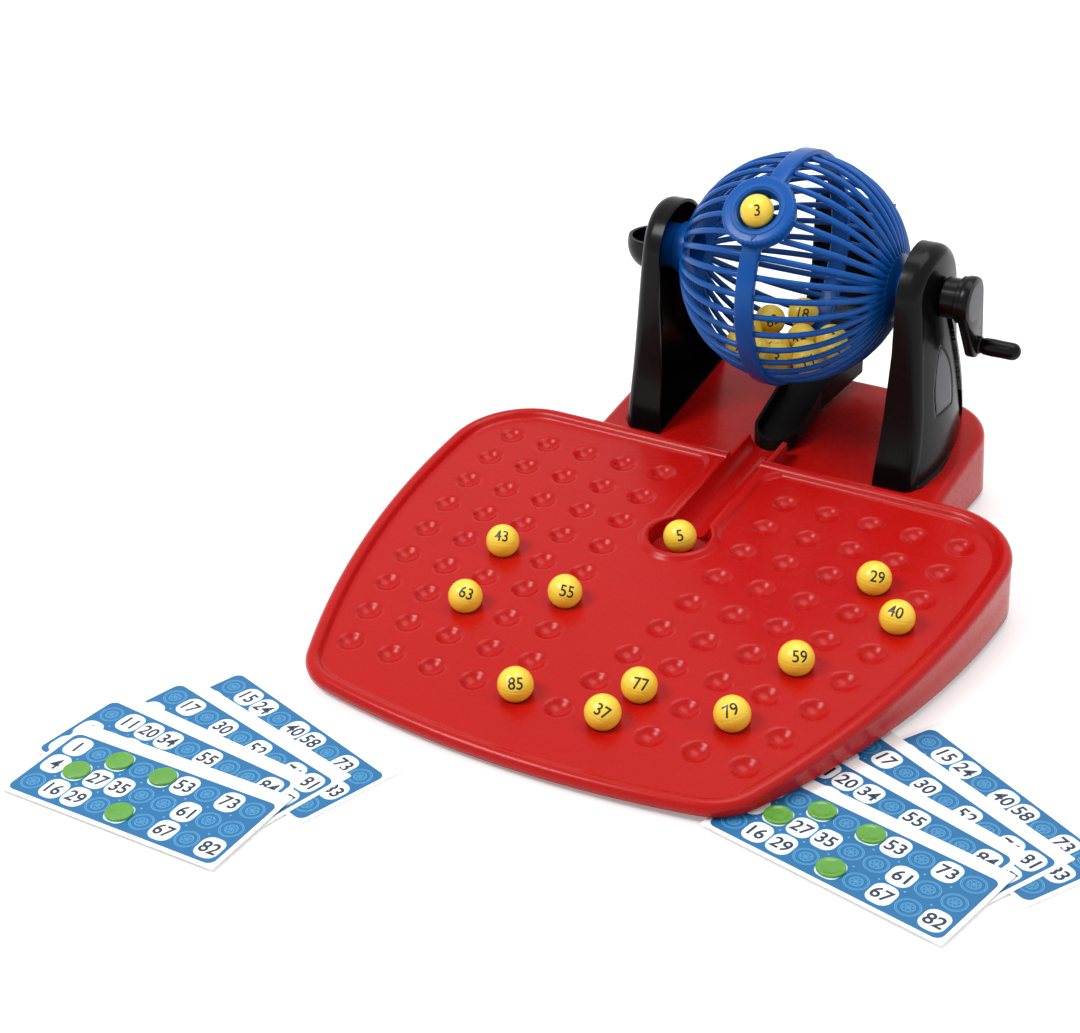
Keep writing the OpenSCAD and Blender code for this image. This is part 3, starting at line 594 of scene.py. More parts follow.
def card(side, right, i):
    base, _ = rounded(0, 0, CARD_W, CARD_D, 0.8, 4)
    n = len(base)
    bottom = (3 - i) * CARD_STEP
    top = bottom + CARD_T
    flats = [np.column_stack([base, np.full(n, bottom)]), np.column_stack([base, np.full(n, top)])]
    faces = [list(range(n))[::-1], list(range(n, 2 * n))] + between(2, n)
    marks, start = [0] * len(faces), 2 * n
    for finish, level, points, more in card_print(cards[i]):
        flats.append(np.column_stack([points, np.full(len(points), top + LAYER * level)]))
        faces += [[k + start for k in face] for face in more]
        marks += [finish] * len(more)
        start += len(points)
    points = np.vstack(flats)
    flat = spun(points[:, :2], turns[i]) + spots[i]
    flat = spun(flat, FAN_TURN * right) + FAN + FAN_STEP * right
    name = "card_%s_%d" % (side, i + 1)
    return piece(name + "_printed", np.column_stack([flat, points[:, 2]]), faces,
                 [CARD_WHITE, PRINT_BLUE, PRINT_PALE, PRINT_NAVY], name + "_body", name, "card", marks,
                 turn=False)


for side, right in (("left", 0), ("right", 1)):
    for i in range(4):
        obj = card(side, right, i)
print("a card has", len(obj.data.polygons), "faces")

# %% [markdown]
# ## Counters
# The counters are clear green discs, moulded with a soft raised edge and a dished middle. Both faces
# are turned from one profile.

# %% The green counters
COUNTER_R, COUNTER_T, COUNTER_EDGE = 6.7, 1.4, 0.5


def counter(side, i):
    name = "counter_%s_%d" % (side, i)
    half, r = COUNTER_T / 2, COUNTER_EDGE
    bend = [math.radians(a) for a in range(0, 81, 20)]
    edge = [(COUNTER_R - r + r * math.sin(a), -(half - r) - r * math.cos(a)) for a in bend]
    upper = [(COUNTER_R - 1.3, half), (COUNTER_R - 1.9, half - 0.25), (3.0, half - 0.32), (0.0, half - 0.32)]
    lower = [(r, -z) for r, z in reversed(upper)]
    profile = lower + edge + [(r, -z) for r, z in reversed(edge[:4])] + upper
    points, faces = turned(profile, 56)
    piece(name + "_disc", points + middle_of(name), faces, [COUNTER_GREEN], name + "_body", name, "counter",
          sharp=50)


for side in ("left", "right"):
    for i in range(1, 5):
        counter(side, i)
print(len(made), "pieces so far")

# %% [markdown]
# ## The tray
# The tray is one red moulding. Its outline is a chain of arcs: a bowed front, bowed sides and four round
# corners. Each sample of the outline keeps its outward direction, so the same outline can be drawn
# any distance further in, for the rim, the skirt and the board.

# %% The outline of the board
TRAY_HALF, SIDE_R, FRONT_R, FRONT_BOW = 169.0, 496.0, 560.0, 46.0
SIDE_C, FRONT_C = np.array((TRAY_HALF - SIDE_R, 183.0)), np.array((0.0, FRONT_R - FRONT_BOW))
FRONT_CORNER_R, REAR_CORNER_R, REAR_Y = 32.0, 46.0, 233.0
CHANNEL_R, CHANNEL_DEPTH, CUP_R, CUP_Y, PAD_H = 10.5, 8.5, 17.0, 150.0, 2.6
FOOT_Z, WALL, CHANNEL_GAP = 3.4, 2.4, 10.6


def front_corner():
    gap = FRONT_C - SIDE_C
    length = np.linalg.norm(gap)
    u = gap / length
    a = ((SIDE_R - FRONT_CORNER_R) ** 2 - (FRONT_R - FRONT_CORNER_R) ** 2 + length ** 2) / (2 * length)
    b = math.sqrt((SIDE_R - FRONT_CORNER_R) ** 2 - a * a)
    return SIDE_C + a * u + b * np.array((u[1], -u[0]))


def heading(v):
    return math.atan2(v[1], v[0])


def arc(centre, r, start, end, count):
    t = np.linspace(start, end, count)
    out = np.column_stack([np.cos(t), np.sin(t)])
    return np.asarray(centre) + r * out, out


FRONT_CORNER = front_corner()
rear_rise = REAR_Y - REAR_CORNER_R - SIDE_C[1]
rear_run = math.sqrt((SIDE_R - REAR_CORNER_R) ** 2 - rear_rise ** 2)
REAR_CORNER = np.array((SIDE_C[0] + rear_run, REAR_Y - REAR_CORNER_R))


def board_outline(gap):
    """Round the right side, the front and the left side, from the rear edge at x = gap to x = -gap."""
    to_front, to_side = heading(FRONT_CORNER - FRONT_C), heading(FRONT_CORNER - SIDE_C)
    to_rear = heading(REAR_CORNER - SIDE_C)
    runs = [arc(FRONT_C, FRONT_R, -math.pi / 2, to_front, 22),
            arc(FRONT_CORNER, FRONT_CORNER_R, to_front, to_side, 16),
            arc(SIDE_C, SIDE_R, to_side, to_rear, 40),
            arc(REAR_CORNER, REAR_CORNER_R, to_rear, math.pi / 2, 18)]
    x = np.linspace(REAR_CORNER[0], gap, 16)
    runs.append((np.column_stack([x, np.full(16, REAR_Y)]), np.tile((0.0, 1.0), (16, 1))))
    at = np.vstack([runs[0][0]] + [r[0][1:] for r in runs[1:]])
    out = np.vstack([runs[0][1]] + [r[1][1:] for r in runs[1:]])
    return np.vstack([at[::-1], at[1:] * (-1, 1)]), np.vstack([out[::-1], out[1:] * (-1, 1)])


edge_at, edge_out = board_outline(CHANNEL_GAP)
print(len(edge_at), "samples round the board, widest at", round(edge_at[:, 0].max(), 1))

# %% [markdown]
# The rim is a rolled bead that flows into the skirt outside and into the board inside. One section is
# drawn as distances in from the outline and heights over the board, and it is carried along the
# outline. The skirt's lower edge stays level while the board slopes, so its length changes along the
# way. The sweep stops on both sides of the channel.

# %% Rim and skirt
def level_below(y, angle, z0):
    """Height over a tilted plane at which the skirt reaches its lower edge."""
    return (FOOT_Z - z0 - y * math.sin(angle)) / math.cos(angle)


BEAD_R, BEAD_IN = 4.0, 3.5
roll = [math.radians(a) for a in range(205, 29, -12)]
bead = [(BEAD_IN + BEAD_R * math.cos(a), BEAD_R * math.sin(a)) for a in roll]
inner = [(7.45, 1.3), (8.0, 0.72), (8.8, 0.28), (9.6, 0.06), (10.3, -0.04), (10.3, -2.2),
         (WALL + 1.0, -2.9), (WALL, -4.0)]
rim_points = []
for at, out in zip(edge_at, edge_out):
    low = level_below(at[1], TILT, BOARD_Z)
    skirt = [(1.0, low), (0.3, low + 0.3), (0.0, low + 1.0), (0.0, min(-2.6, 0.5 * low - 1.0))]
    section = skirt + bead + inner + [(WALL, low + 1.0), (WALL - 0.5, low)]
    rim_points += [(*(at - d * out), h) for d, h in section]
count = len(section)
rim_faces = between(len(edge_at), count)
rim_faces += [list(range(count)), list(range((len(edge_at) - 1) * count, len(edge_at) * count))]
piece("tray_rim", on_board(rim_points), rim_faces, [TRAY_RED], "frame", "tray_base", "tray", sharp=40)
print("rim and skirt:", len(rim_faces), "faces")

# %% [markdown]
# The board has ninety seats, so it is grown with Geometry Nodes. A flat sheet is filled between the
# outline and ninety circles, and a dish is placed in each circle. The dish is a flat disc of rings that
# sinks by a rule: the lower of a plane and a ball-shaped hollow, with the crease between them
# softened. That soft minimum is what gives each seat its rounded lip.

# %% A helper for Geometry Nodes
def add(tree, kind, feeds=(), **settings):
    node = tree.nodes.new(kind)
    for key, value in settings.items():
        setattr(node, key, value)
    for key, value in dict(feeds).items():
        if isinstance(value, bpy.types.NodeSocket):
            tree.links.new(value, node.inputs[key])
        else:
            node.inputs[key].default_value = value
    return node


def new_tree(name, inputs):
    tree = bpy.data.node_groups.new(name, "GeometryNodeTree")
    tree.interface.new_socket("Geometry", in_out="OUTPUT", socket_type="NodeSocketGeometry")
    for label, kind in inputs:
        tree.interface.new_socket(label, in_out="INPUT", socket_type=kind)
    return tree, tree.nodes.new("NodeGroupInput").outputs, tree.nodes.new("NodeGroupOutput")


def number_node(tree, operation, *values):
    return add(tree, "ShaderNodeMath", enumerate(values), operation=operation).outputs[0]


def close_tree(tree, shape, finish, end):
    """Smooth shading, the finish and the way out, with which every tree here ends."""
    soft = add(tree, "GeometryNodeSetShadeSmooth", {"Geometry": shape})
    done = add(tree, "GeometryNodeSetMaterial", {"Geometry": soft.outputs[0], "Material": finish})
    tree.links.new(done.outputs[0], end.inputs[0])


def grown(tree, base, values):
    """The mesh that a tree grows from a base mesh, as plain data."""
    obj = bpy.data.objects.new("grower", base)
    bpy.context.scene.collection.objects.link(obj)
    modifier = obj.modifiers.new("grow", "NODES")
    modifier.node_group = tree
    for item in tree.interface.items_tree:
        if item.in_out == "INPUT" and item.name in values:
            modifier[item.identifier] = values[item.name]
    bpy.context.view_layer.update()
    mesh = bpy.data.meshes.new_from_object(obj.evaluated_get(bpy.context.evaluated_depsgraph_get()))
    bpy.data.objects.remove(obj)
    return mesh


print("helpers for trees ready")

# %% [markdown]
# A seat could be cut with a boolean, but ninety of them are slow and leave hard edges. Here the tree joins
# two things instead: the sheet with its holes, and one dish that is placed on every point.

# %% A tree that grows the board with its seats
def seat_board_tree():
    number = "NodeSocketFloat"
    tree, given, end = new_tree("seat board", [
        ("Geometry", "NodeSocketGeometry"), ("Outline", "NodeSocketObject"), ("Lip Radius", number),
        ("Seat Radius", number), ("Seat Depth", number), ("Softness", number),
        ("Finish", "NodeSocketMaterial")])
    outline = add(tree, "GeometryNodeObjectInfo", {"Object": given["Outline"]}, transform_space="ORIGINAL")
    circle = add(tree, "GeometryNodeCurvePrimitiveCircle", {"Resolution": 40, "Radius": given["Lip Radius"]})
    holes = add(tree, "GeometryNodeInstanceOnPoints",
                {"Points": given["Geometry"], "Instance": circle.outputs["Curve"]})
    real_holes = add(tree, "GeometryNodeRealizeInstances", {"Geometry": holes.outputs[0]})
    loops = add(tree, "GeometryNodeJoinGeometry")
    tree.links.new(real_holes.outputs[0], loops.inputs[0])
    tree.links.new(outline.outputs["Geometry"], loops.inputs[0])
    sheet = add(tree, "GeometryNodeFillCurve", {"Curve": loops.outputs[0]})
    disc = add(tree, "GeometryNodeMeshCone", {
        "Vertices": 40, "Side Segments": 9, "Radius Top": 0.0, "Radius Bottom": given["Lip Radius"],
        "Depth": 0.0}, fill_type="NONE")
    place = add(tree, "ShaderNodeSeparateXYZ", {0: add(tree, "GeometryNodeInputPosition").outputs[0]}).outputs
    across = number_node(tree, "ADD", number_node(tree, "MULTIPLY", place[0], place[0]),
                         number_node(tree, "MULTIPLY", place[1], place[1]))
    square = number_node(tree, "MULTIPLY", given["Seat Radius"], given["Seat Radius"])
    middle = number_node(tree, "SUBTRACT", given["Seat Radius"], given["Seat Depth"])
    below = number_node(tree, "SQRT", number_node(tree, "SUBTRACT", square, across))
    hollow = number_node(tree, "SUBTRACT", middle, below)
    sink = number_node(tree, "SMOOTH_MIN", 0.0, hollow, given["Softness"])
    shift = add(tree, "ShaderNodeCombineXYZ", {2: sink})
    dish = add(tree, "GeometryNodeSetPosition",
               {"Geometry": disc.outputs["Mesh"], "Offset": shift.outputs[0]})
    dishes = add(tree, "GeometryNodeInstanceOnPoints",
                 {"Points": given["Geometry"], "Instance": dish.outputs[0]})
    both = add(tree, "GeometryNodeJoinGeometry")
    tree.links.new(dishes.outputs[0], both.inputs[0])
    tree.links.new(sheet.outputs[0], both.inputs[0])
    real = add(tree, "GeometryNodeRealizeInstances", {"Geometry": both.outputs[0]})
    one = add(tree, "GeometryNodeMergeByDistance", {"Geometry": real.outputs[0], "Distance": 2e-6})
    close_tree(tree, one.outputs[0], given["Finish"], end)
    return tree


SEAT_TREE = seat_board_tree()
print("the tree has", len(SEAT_TREE.nodes), "nodes")

# %% [markdown]
# The seats stand in nine rows of five on each side. The gap in the middle is wide at the rear, where the
# channel runs, and closes towards the front. The sheet leaves out a keyhole for the channel and its cup.

# %% The board with its ninety seats
ROWS, PER_SIDE, PITCH, ROW_PITCH = 9, 5, 25.0, 25.2
REAR_GAP, FRONT_GAP = 1.53, 0.48
SHEET_IN, SHEET_HOLE_HALF, SHEET_HOLE_R, HOLE_CLEAR = 9.9, 13.6, 19.2, 14.0


def seat_places():
    places = []
    for row in range(ROWS):
        gap = REAR_GAP - (REAR_GAP - FRONT_GAP) * (row / (ROWS - 1)) ** 2
        y = (ROWS - 1 - row) * ROW_PITCH
        for column in range(PER_SIDE):
            x = (column + gap) * PITCH
            places += [(x, y), (-x, y)]
    return places


def keyhole(half_w, r, rear, count=40):
    """The channel and its cup from above, from the right rear end round the cup to the left rear end."""
    lean = math.acos(half_w / r)
    round_cup, _ = arc((0, CUP_Y), r, lean, -math.pi - lean, count)
    return np.vstack([[(half_w, rear)], round_cup, [(-half_w, rear)]])


rear = REAR_Y - SHEET_IN
inside = edge_at - SHEET_IN * edge_out
inside = inside[(inside[:, 1] < rear - 1e-6) | (np.abs(inside[:, 0]) > HOLE_CLEAR)]
loop = np.vstack([inside, keyhole(SHEET_HOLE_HALF, SHEET_HOLE_R, rear)[::-1]])
outline_curve = bpy.data.curves.new("board_outline", "CURVE")
outline_curve.dimensions = "2D"
outline_curve.fill_mode = "NONE"
spline = outline_curve.splines.new("POLY")
spline.points.add(len(loop) - 1)
spline.points.foreach_set("co", np.column_stack([loop / MM, np.zeros(len(loop)), np.ones(len(loop))]).ravel())
spline.use_cyclic_u = True
outline_object = bpy.data.objects.new("board_outline", outline_curve)
bpy.context.scene.collection.objects.link(outline_object)
seats = bpy.data.meshes.new("seats")
seats.from_pydata([(x / MM, y / MM, 0) for x, y in seat_places()], [], [])
sheet = grown(SEAT_TREE, seats, {"Outline": outline_object, "Lip Radius": 0.0089, "Seat Radius": 0.0094,
                                 "Seat Depth": 0.0034, "Softness": 0.0012, "Finish": TRAY_RED})
bpy.data.objects.remove(outline_object)
face_towards(sheet, Vector((0, 0, 1)))
sheet.transform(Matrix.Translation(to_frame([[0, 0, BOARD_Z]])[0]) @ Matrix.Rotation(TILT, 4, "X"))
board = keep(sheet, "tray_board", "frame")
thickened(board, thickness=0.002)
print("board:", len(seat_places()), "seats,", len(sheet.polygons), "faces")

# %% [markdown]
# The channel runs from the rear edge to a round cup. A raised pad with soft shoulders surrounds both and
# widens into the rim at the back. The pad is drawn as loops of the same two outlines at rising heights,
# and its flat top is filled between the last loops.

# %% Pad, channel and cup
PAD_HALF, PAD_R, FLARE_R = 16.9, 21.0, 14.0


def pad_edge():
    lean = math.acos(PAD_HALF / PAD_R)
    flare, _ = arc((PAD_HALF + FLARE_R, REAR_Y - 20.0), FLARE_R, math.pi / 2, math.pi, 12)
    cup, _ = arc((0, CUP_Y), PAD_R, lean, -math.pi - lean, 56)
    half = np.vstack([[(34.0, REAR_Y - 4.0)], flare])
    return np.vstack([half, cup, (half * (-1, 1))[::-1]])


def outward(line):
    """The direction square to a line at each of its points."""
    step = np.gradient(line, axis=0)
    step /= np.linalg.norm(step, axis=1)[:, None]
    return np.column_stack([-step[:, 1], step[:, 0]])


outer = pad_edge()
hole = keyhole(CHANNEL_R, CUP_R, REAR_Y - 4.0, 48)
outer_steps = [(2.6, -0.35), (1.6, 0.1), (0.8, 0.7), (0.1, 1.4), (-0.6, 2.05), (-1.2, 2.42),
               (-1.9, PAD_H)]
hole_steps = [(1.5, PAD_H), (0.9, 2.45), (0.4, 2.1), (0.1, 1.5), (0.0, -1.0)]
pad_points, pad_faces = [], []
for line, steps in ((outer, outer_steps), (hole, hole_steps)):
    normals = outward(line)
    pad_faces += between(len(steps), len(line), closed=False, start=len(pad_points), flip=True)
    pad_points += [(*(p + d * n), h) for d, h in steps for p, n in zip(line, normals)]
hole_starts = len(outer_steps) * len(outer)
ring_ids = list(range(hole_starts - len(outer), hole_starts))
ring_ids += list(range(hole_starts, hole_starts + len(hole)))[::-1]
for tri in geometry.tessellate_polygon([[Vector((*pad_points[k][:2], 0)) for k in ring_ids]]):
    pad_faces.append([ring_ids[k] for k in tri])
piece("tray_pad", on_board(pad_points), pad_faces, [TRAY_RED], "frame", slot="tray", sharp=50)

TRACK_START, TRACK_END, TRACK_LOW = CUP_Y + 13.4, 257.9, -CHANNEL_DEPTH - WALL
CHANNEL_MIDDLE = CHANNEL_R - CHANNEL_DEPTH
lip = math.asin(CHANNEL_MIDDLE / CHANNEL_R)
section = [(CHANNEL_R * math.cos(t), CHANNEL_MIDDLE - CHANNEL_R * math.sin(t))
           for t in np.linspace(lip, math.pi - lip, 33)]
section += [(-11.2, 0.15), (-12.4, 0.1), (-12.9, -0.4), (-12.9, TRACK_LOW + 1), (-11.9, TRACK_LOW)]
section += [(11.9, TRACK_LOW), (12.9, TRACK_LOW + 1), (12.9, -0.4), (12.4, 0.1), (11.2, 0.15)]
n = len(section)
track = [(x, y, h) for y in (TRACK_START, TRACK_END) for x, h in section]
ends = geometry.tessellate_polygon([[Vector((x, h, 0)) for x, h in section]])
track_faces = between(2, n) + [[k + row for k in tri] for row in (0, n) for tri in ends]
piece("tray_channel", on_board(track), track_faces, [TRAY_RED], "frame", slot="tray", sharp=40)

cup_points, cup_faces, steps = [], [], 96
for t in np.linspace(0, 2 * math.pi, steps, False):
    x = CUP_R * math.cos(t)
    opens = math.sin(t) > 0 and abs(x) < CHANNEL_R
    top = CHANNEL_MIDDLE - math.sqrt(CHANNEL_R ** 2 - x * x) if opens else 1.2
    low = -CHANNEL_DEPTH
    tall = top - low
    rows = [(0.0, low), (CUP_R - 2.0, low), (CUP_R - 0.6, low + min(0.5, tall / 3)),
            (CUP_R, low + min(2.0, tall / 2)), (CUP_R, top), (CUP_R + WALL, top),
            (CUP_R + WALL, TRACK_LOW), (0.0, TRACK_LOW)]
    cup_points += [(r * math.cos(t), CUP_Y + r * math.sin(t), h) for r, h in rows]
m = len(rows)
for i in range(steps):
    j = (i + 1) % steps
    cup_faces += [[i * m + k, j * m + k, j * m + k + 1, i * m + k + 1] for k in range(m - 1)]
piece("tray_cup", on_board(cup_points), cup_faces, [TRAY_RED], "frame", slot="tray", sharp=40)
print("pad, channel and cup made")

# %% [markdown]
# The deck behind the board carries the stands. It is a shell with a round upper edge: the same plan is
# drawn further and further in while it rises, and the top is one flat face. A Solidify modifier gives
# the shell its wall.

# %% Deck
DECK_W, DECK_DEPTH, DECK_CORNER, DECK_EDGE = 108.0, 96.0, 34.0, 5.0
DECK_FRONT = DECK_Y - REAR_Y + 2 * WALL


def quarter_round(r, steps):
    """Distances inwards and down along a round edge, from its top to its side."""
    return [(r * (1 - math.sin(a)), r * (1 - math.cos(a))) for a in np.radians(np.linspace(0, 90, steps))]


def deck_plan(d):
    right, _ = arc((DECK_W - DECK_CORNER, DECK_DEPTH - DECK_CORNER), DECK_CORNER - d, 0, math.pi / 2, 20)
    side = [(DECK_W - d, y) for y in np.linspace(-DECK_FRONT, DECK_DEPTH - DECK_CORNER, 8)[:-1]]
    half = np.vstack([side, right])
    return np.vstack([half, (half * (-1, 1))[::-1]])


deck_points = [(x, y, -drop) for d, drop in quarter_round(DECK_EDGE, 9) for x, y in deck_plan(d)]
deck_points += [(x, y, level_below(y, DECK_TILT, DECK_Z)) for x, y in deck_plan(0)]
count = len(deck_plan(0))
deck_faces = between(len(deck_points) // count, count, closed=False, flip=True) + [list(range(count))]
deck = piece("tray_deck", on_deck(deck_points), deck_faces, [TRAY_RED], "frame", slot="tray", sharp=40)
thickened(deck, thickness=WALL / MM)
print("deck:", len(deck_faces), "faces")

# %% [markdown]
# Below the board are the pieces that nobody sees in use: ribs that stiffen the sheet and six posts with
# rounded feet.

# %% Ribs and feet
RIB_END, RIB_GAP, GAP_FROM, RIB_TOP = 123.0, 13.5, 125.0, -1.0
POST_IN, DECK_POST_X, DECK_POST_Y, UNDER_SHEET = 16.0, 74.0, 314.0, 1.9


def deck_z(y):
    return DECK_Z + (y - DECK_Y) * math.tan(DECK_TILT)


rib_shapes = []
for row in range(1, 5):
    y, half = (ROWS - 1 - row) * ROW_PITCH + ROW_PITCH / 2, WALL / 4
    for x0, x1 in ((-RIB_END, -RIB_GAP), (RIB_GAP, RIB_END)) if y > GAP_FROM else ((-RIB_END, RIB_END),):
        plan = ((x0, -half), (x1, -half), (x1, half), (x0, half))
        box = [(x, y + w, h) for h in (-BOARD_Z, RIB_TOP) for x, w in plan]
        rib_shapes.append((on_board(box), [[3, 2, 1, 0], [4, 5, 6, 7]] + between(2, 4)))
posts = [(x * s, y, BOARD_Z + y * math.tan(TILT) - UNDER_SHEET) for s in (1, -1)
         for x, y in (FRONT_CORNER - POST_IN, REAR_CORNER)]
posts += [(s * DECK_POST_X, DECK_POST_Y, deck_z(DECK_POST_Y) - UNDER_SHEET) for s in (1, -1)]
for x, y, height in posts:
    p, f = turned([(0, 0), (7.0, 0), (7.7, 0.3), (8, 1.0), (8, height), (0, height)], 32)
    rib_shapes.append((p + (x, y, 0), f))
piece("tray_ribs", *joined(*rib_shapes), [TRAY_RED], "frame", slot="tray", sharp=40)
print(len(posts), "posts")

# %% [markdown]
# ## The stands
# Each stand is a hollow black shell. Its outer face leans out towards the deck and bows slightly, its
# edges are well rounded, and a leaf-shaped panel lies in a shallow recess. The face is a mesh of rings
# that spread from the hole for the axle to the outline, and a rule gives the depth at each point. So the
# bow, the lean and the recess need no modelling by hand. Solidify gives the shell its wall.

# %% The rule for a stand's outer face
STAND_IN, STAND_OUT, STAND_R, DRAFT, EDGE_R = 71.7, 89.0, 28.0, math.radians(4.5), 7.5
BOW_R, BOW_Y, STAND_GAP = 100.0, AXLE_Y + 5.6, 0.1
FOOT_FLARE, FLARE_TOP, FLARE_SPAN = 4.0, 110.0, 75.0
PANEL_LOW, PANEL_DEPTH, RECESS_EDGE = AXLE_Z - 68.0, 1.0, 0.6
LEAF = [((AXLE_Y - STAND_R, PANEL_LOW + 7.0), 40.9), ((AXLE_Y + 50.4, PANEL_LOW + 14.0), 60.5)]


def leaf_depth(y, z):
    """How far inside the leaf a point lies, negative outside."""
    inside = [r - np.hypot(y - c[0], z - c[1]) for c, r in LEAF] + [z - PANEL_LOW]
    return np.minimum.reduce(inside)


def bowed_x(y, z):
    """The face that leans and bows, before the panel is let in."""
    bow = np.sqrt(BOW_R ** 2 - (y - BOW_Y) ** 2) - BOW_R
    return STAND_OUT + bow - (z - AXLE_Z) * math.tan(DRAFT)


def face_x(y, z):
    recess = np.clip((leaf_depth(y, z) + RECESS_EDGE) / (2 * RECESS_EDGE), 0.0, 1.0)
    return bowed_x(y, z) - PANEL_DEPTH * recess * recess * (3 - 2 * recess)


def even(line, count):
    """The same polyline with points evenly spaced along it."""
    length = np.concatenate([[0], np.cumsum(np.linalg.norm(np.diff(line, axis=0), axis=1))])
    at = np.linspace(0, length[-1], count)
    return np.column_stack([np.interp(at, length, line[:, k]) for k in (0, 1)])


def stand_outline():
    """Front, top and back of the stand in (y, z), from the deck up and over and down to the deck."""
    front = [(251.3, deck_z(251.3) + STAND_GAP), (251.6, 40.0), (254.8, 56.0), (256.6, 70.0), (257.0, 90.0),
             (257.0, 115.0)]
    top, _ = arc((AXLE_Y, AXLE_Z), STAND_R, math.pi, 0.0, 40)
    back = [(313.0, 118.0), (313.6, 103.0), (317.4, 84.5), (326.0, 65.5), (335.5, 52.5),
            (341.5, deck_z(341.5) + STAND_GAP)]
    line = np.vstack([front, top, back])
    for _ in range(2):
        a, b = line[:-1], line[1:]
        cut = np.column_stack([0.75 * a + 0.25 * b, 0.25 * a + 0.75 * b]).reshape(-1, 2)
        line = np.vstack([line[:1], cut, line[-1:]])
    return even(line, 150)


side_line = stand_outline()
side_in = -outward(side_line)
foot_y = np.linspace(side_line[-1, 0], side_line[0, 0], 32)[1:-1]
foot_line = np.column_stack([foot_y, deck_z(foot_y) + STAND_GAP])
blend = np.linspace(0, 1, 32)[1:-1]
foot_in = np.column_stack([-np.cos(np.pi * blend), 0 * blend])
stand_line = np.vstack([side_line, foot_line])
stand_in = np.vstack([side_in, foot_in])
print("outline of a stand:", len(stand_line), "points")

# %% [markdown]
# The face has so many rings that the recess keeps a clean edge. The last ring is the open inner border,
# which reaches further in towards the foot. The left stand has the larger hole, because the balls are
# loaded through it.

# %% Both stands
def stand(name, node, side, hole):
    line, count = stand_line, len(stand_line)
    rounding = quarter_round(EDGE_R, 11)
    inset = line + rounding[0][0] * stand_in
    around = np.arctan2(inset[:, 1] - AXLE_Z, inset[:, 0] - AXLE_Y)
    start_ring = np.column_stack([AXLE_Y + hole * np.cos(around), AXLE_Z + hole * np.sin(around)])
    rings = []
    for t in np.linspace(0, 1, 110) ** 0.9:
        p = start_ring * (1 - t) + inset * t
        rings.append(np.column_stack([face_x(p[:, 0], p[:, 1]), p]))
    for d, drop in rounding[1:]:
        p = line + d * stand_in
        rings.append(np.column_stack([face_x(inset[:, 0], inset[:, 1]) - drop, p]))
    flare = FOOT_FLARE * np.clip(FLARE_TOP - line[:, 1], 0, None) / FLARE_SPAN
    rings.append(np.column_stack([STAND_IN - flare, line]))
    points = np.vstack(rings) * (side, 1, 1)
    faces = between(len(rings), count)
    obj = piece(name, points, faces, [STAND_BLACK], "frame", node, "stand", sharp=45)
    face_towards(obj.data, Vector((side, 0, 0)))
    thickened(obj, thickness=0.0018)
    print(name, len(faces), "faces")


stand("right_stand_shell", "right_stand", 1, 6.0)
stand("left_stand_shell", "left_stand", -1, 13.2)

# %% [markdown]
# The panel is a thin grey plate with the outline of the leaf, a little smaller than its recess.

# %% Leaf panels
def leaf_outline(shrink):
    (a, ra), (b, rb) = [(np.array(c), r - shrink) for c, r in LEAF]
    low = PANEL_LOW + shrink
    gap = b - a
    length = np.linalg.norm(gap)
    along = (ra ** 2 - rb ** 2 + length ** 2) / (2 * length)
    up = math.sqrt(ra ** 2 - along ** 2)
    tip = a + gap / length * along + np.array((-gap[1], gap[0])) / length * up
    right, _ = arc(a, ra, math.asin((low - a[1]) / ra), heading(tip - a), 24)
    left, _ = arc(b, rb, heading(tip - b) % (2 * math.pi), math.pi - math.asin((low - b[1]) / rb), 24)
    return np.vstack([right, left[1:]])


PANEL_GAP, PANEL_LIFT = 0.7, 0.1
rim = leaf_outline(PANEL_GAP)
middle = rim.mean(axis=0)
panel_loops = [(1.0, 0.55), (1.0, 0.35), (0.985, 0.2), (0.7, 0.2), (0.35, 0.2)]
for side, body_side in ((1, "right"), (-1, "left")):
    points = []
    for scale, sunk in panel_loops:
        p = middle + (rim - middle) * scale
        x = bowed_x(p[:, 0], p[:, 1]) + PANEL_LIFT - sunk
        points += [(side * a, *b) for a, b in zip(x, p)]
    faces = between(len(panel_loops), len(rim), flip=True)
    faces.append(list(range(len(points) - len(rim), len(points))))
    obj = piece(body_side + "_panel", points, faces, [PANEL_GREY], "frame", slot="stand", sharp=40)
    face_towards(obj.data, Vector((side, 0, 0)))
print("stands and panels made")

# %% [markdown]
# ## The cage
# The ball cage is two halves with ribs that run from the caps at the axle to a band round the middle. All
# ribs are one arc with a rounded section, turned about the axle by equal steps, so Geometry Nodes grow
# them: an arc becomes a tube, the tube is placed on as many points as there are ribs, each turned further,
# and what would stand in the round seat of the gate is taken away.

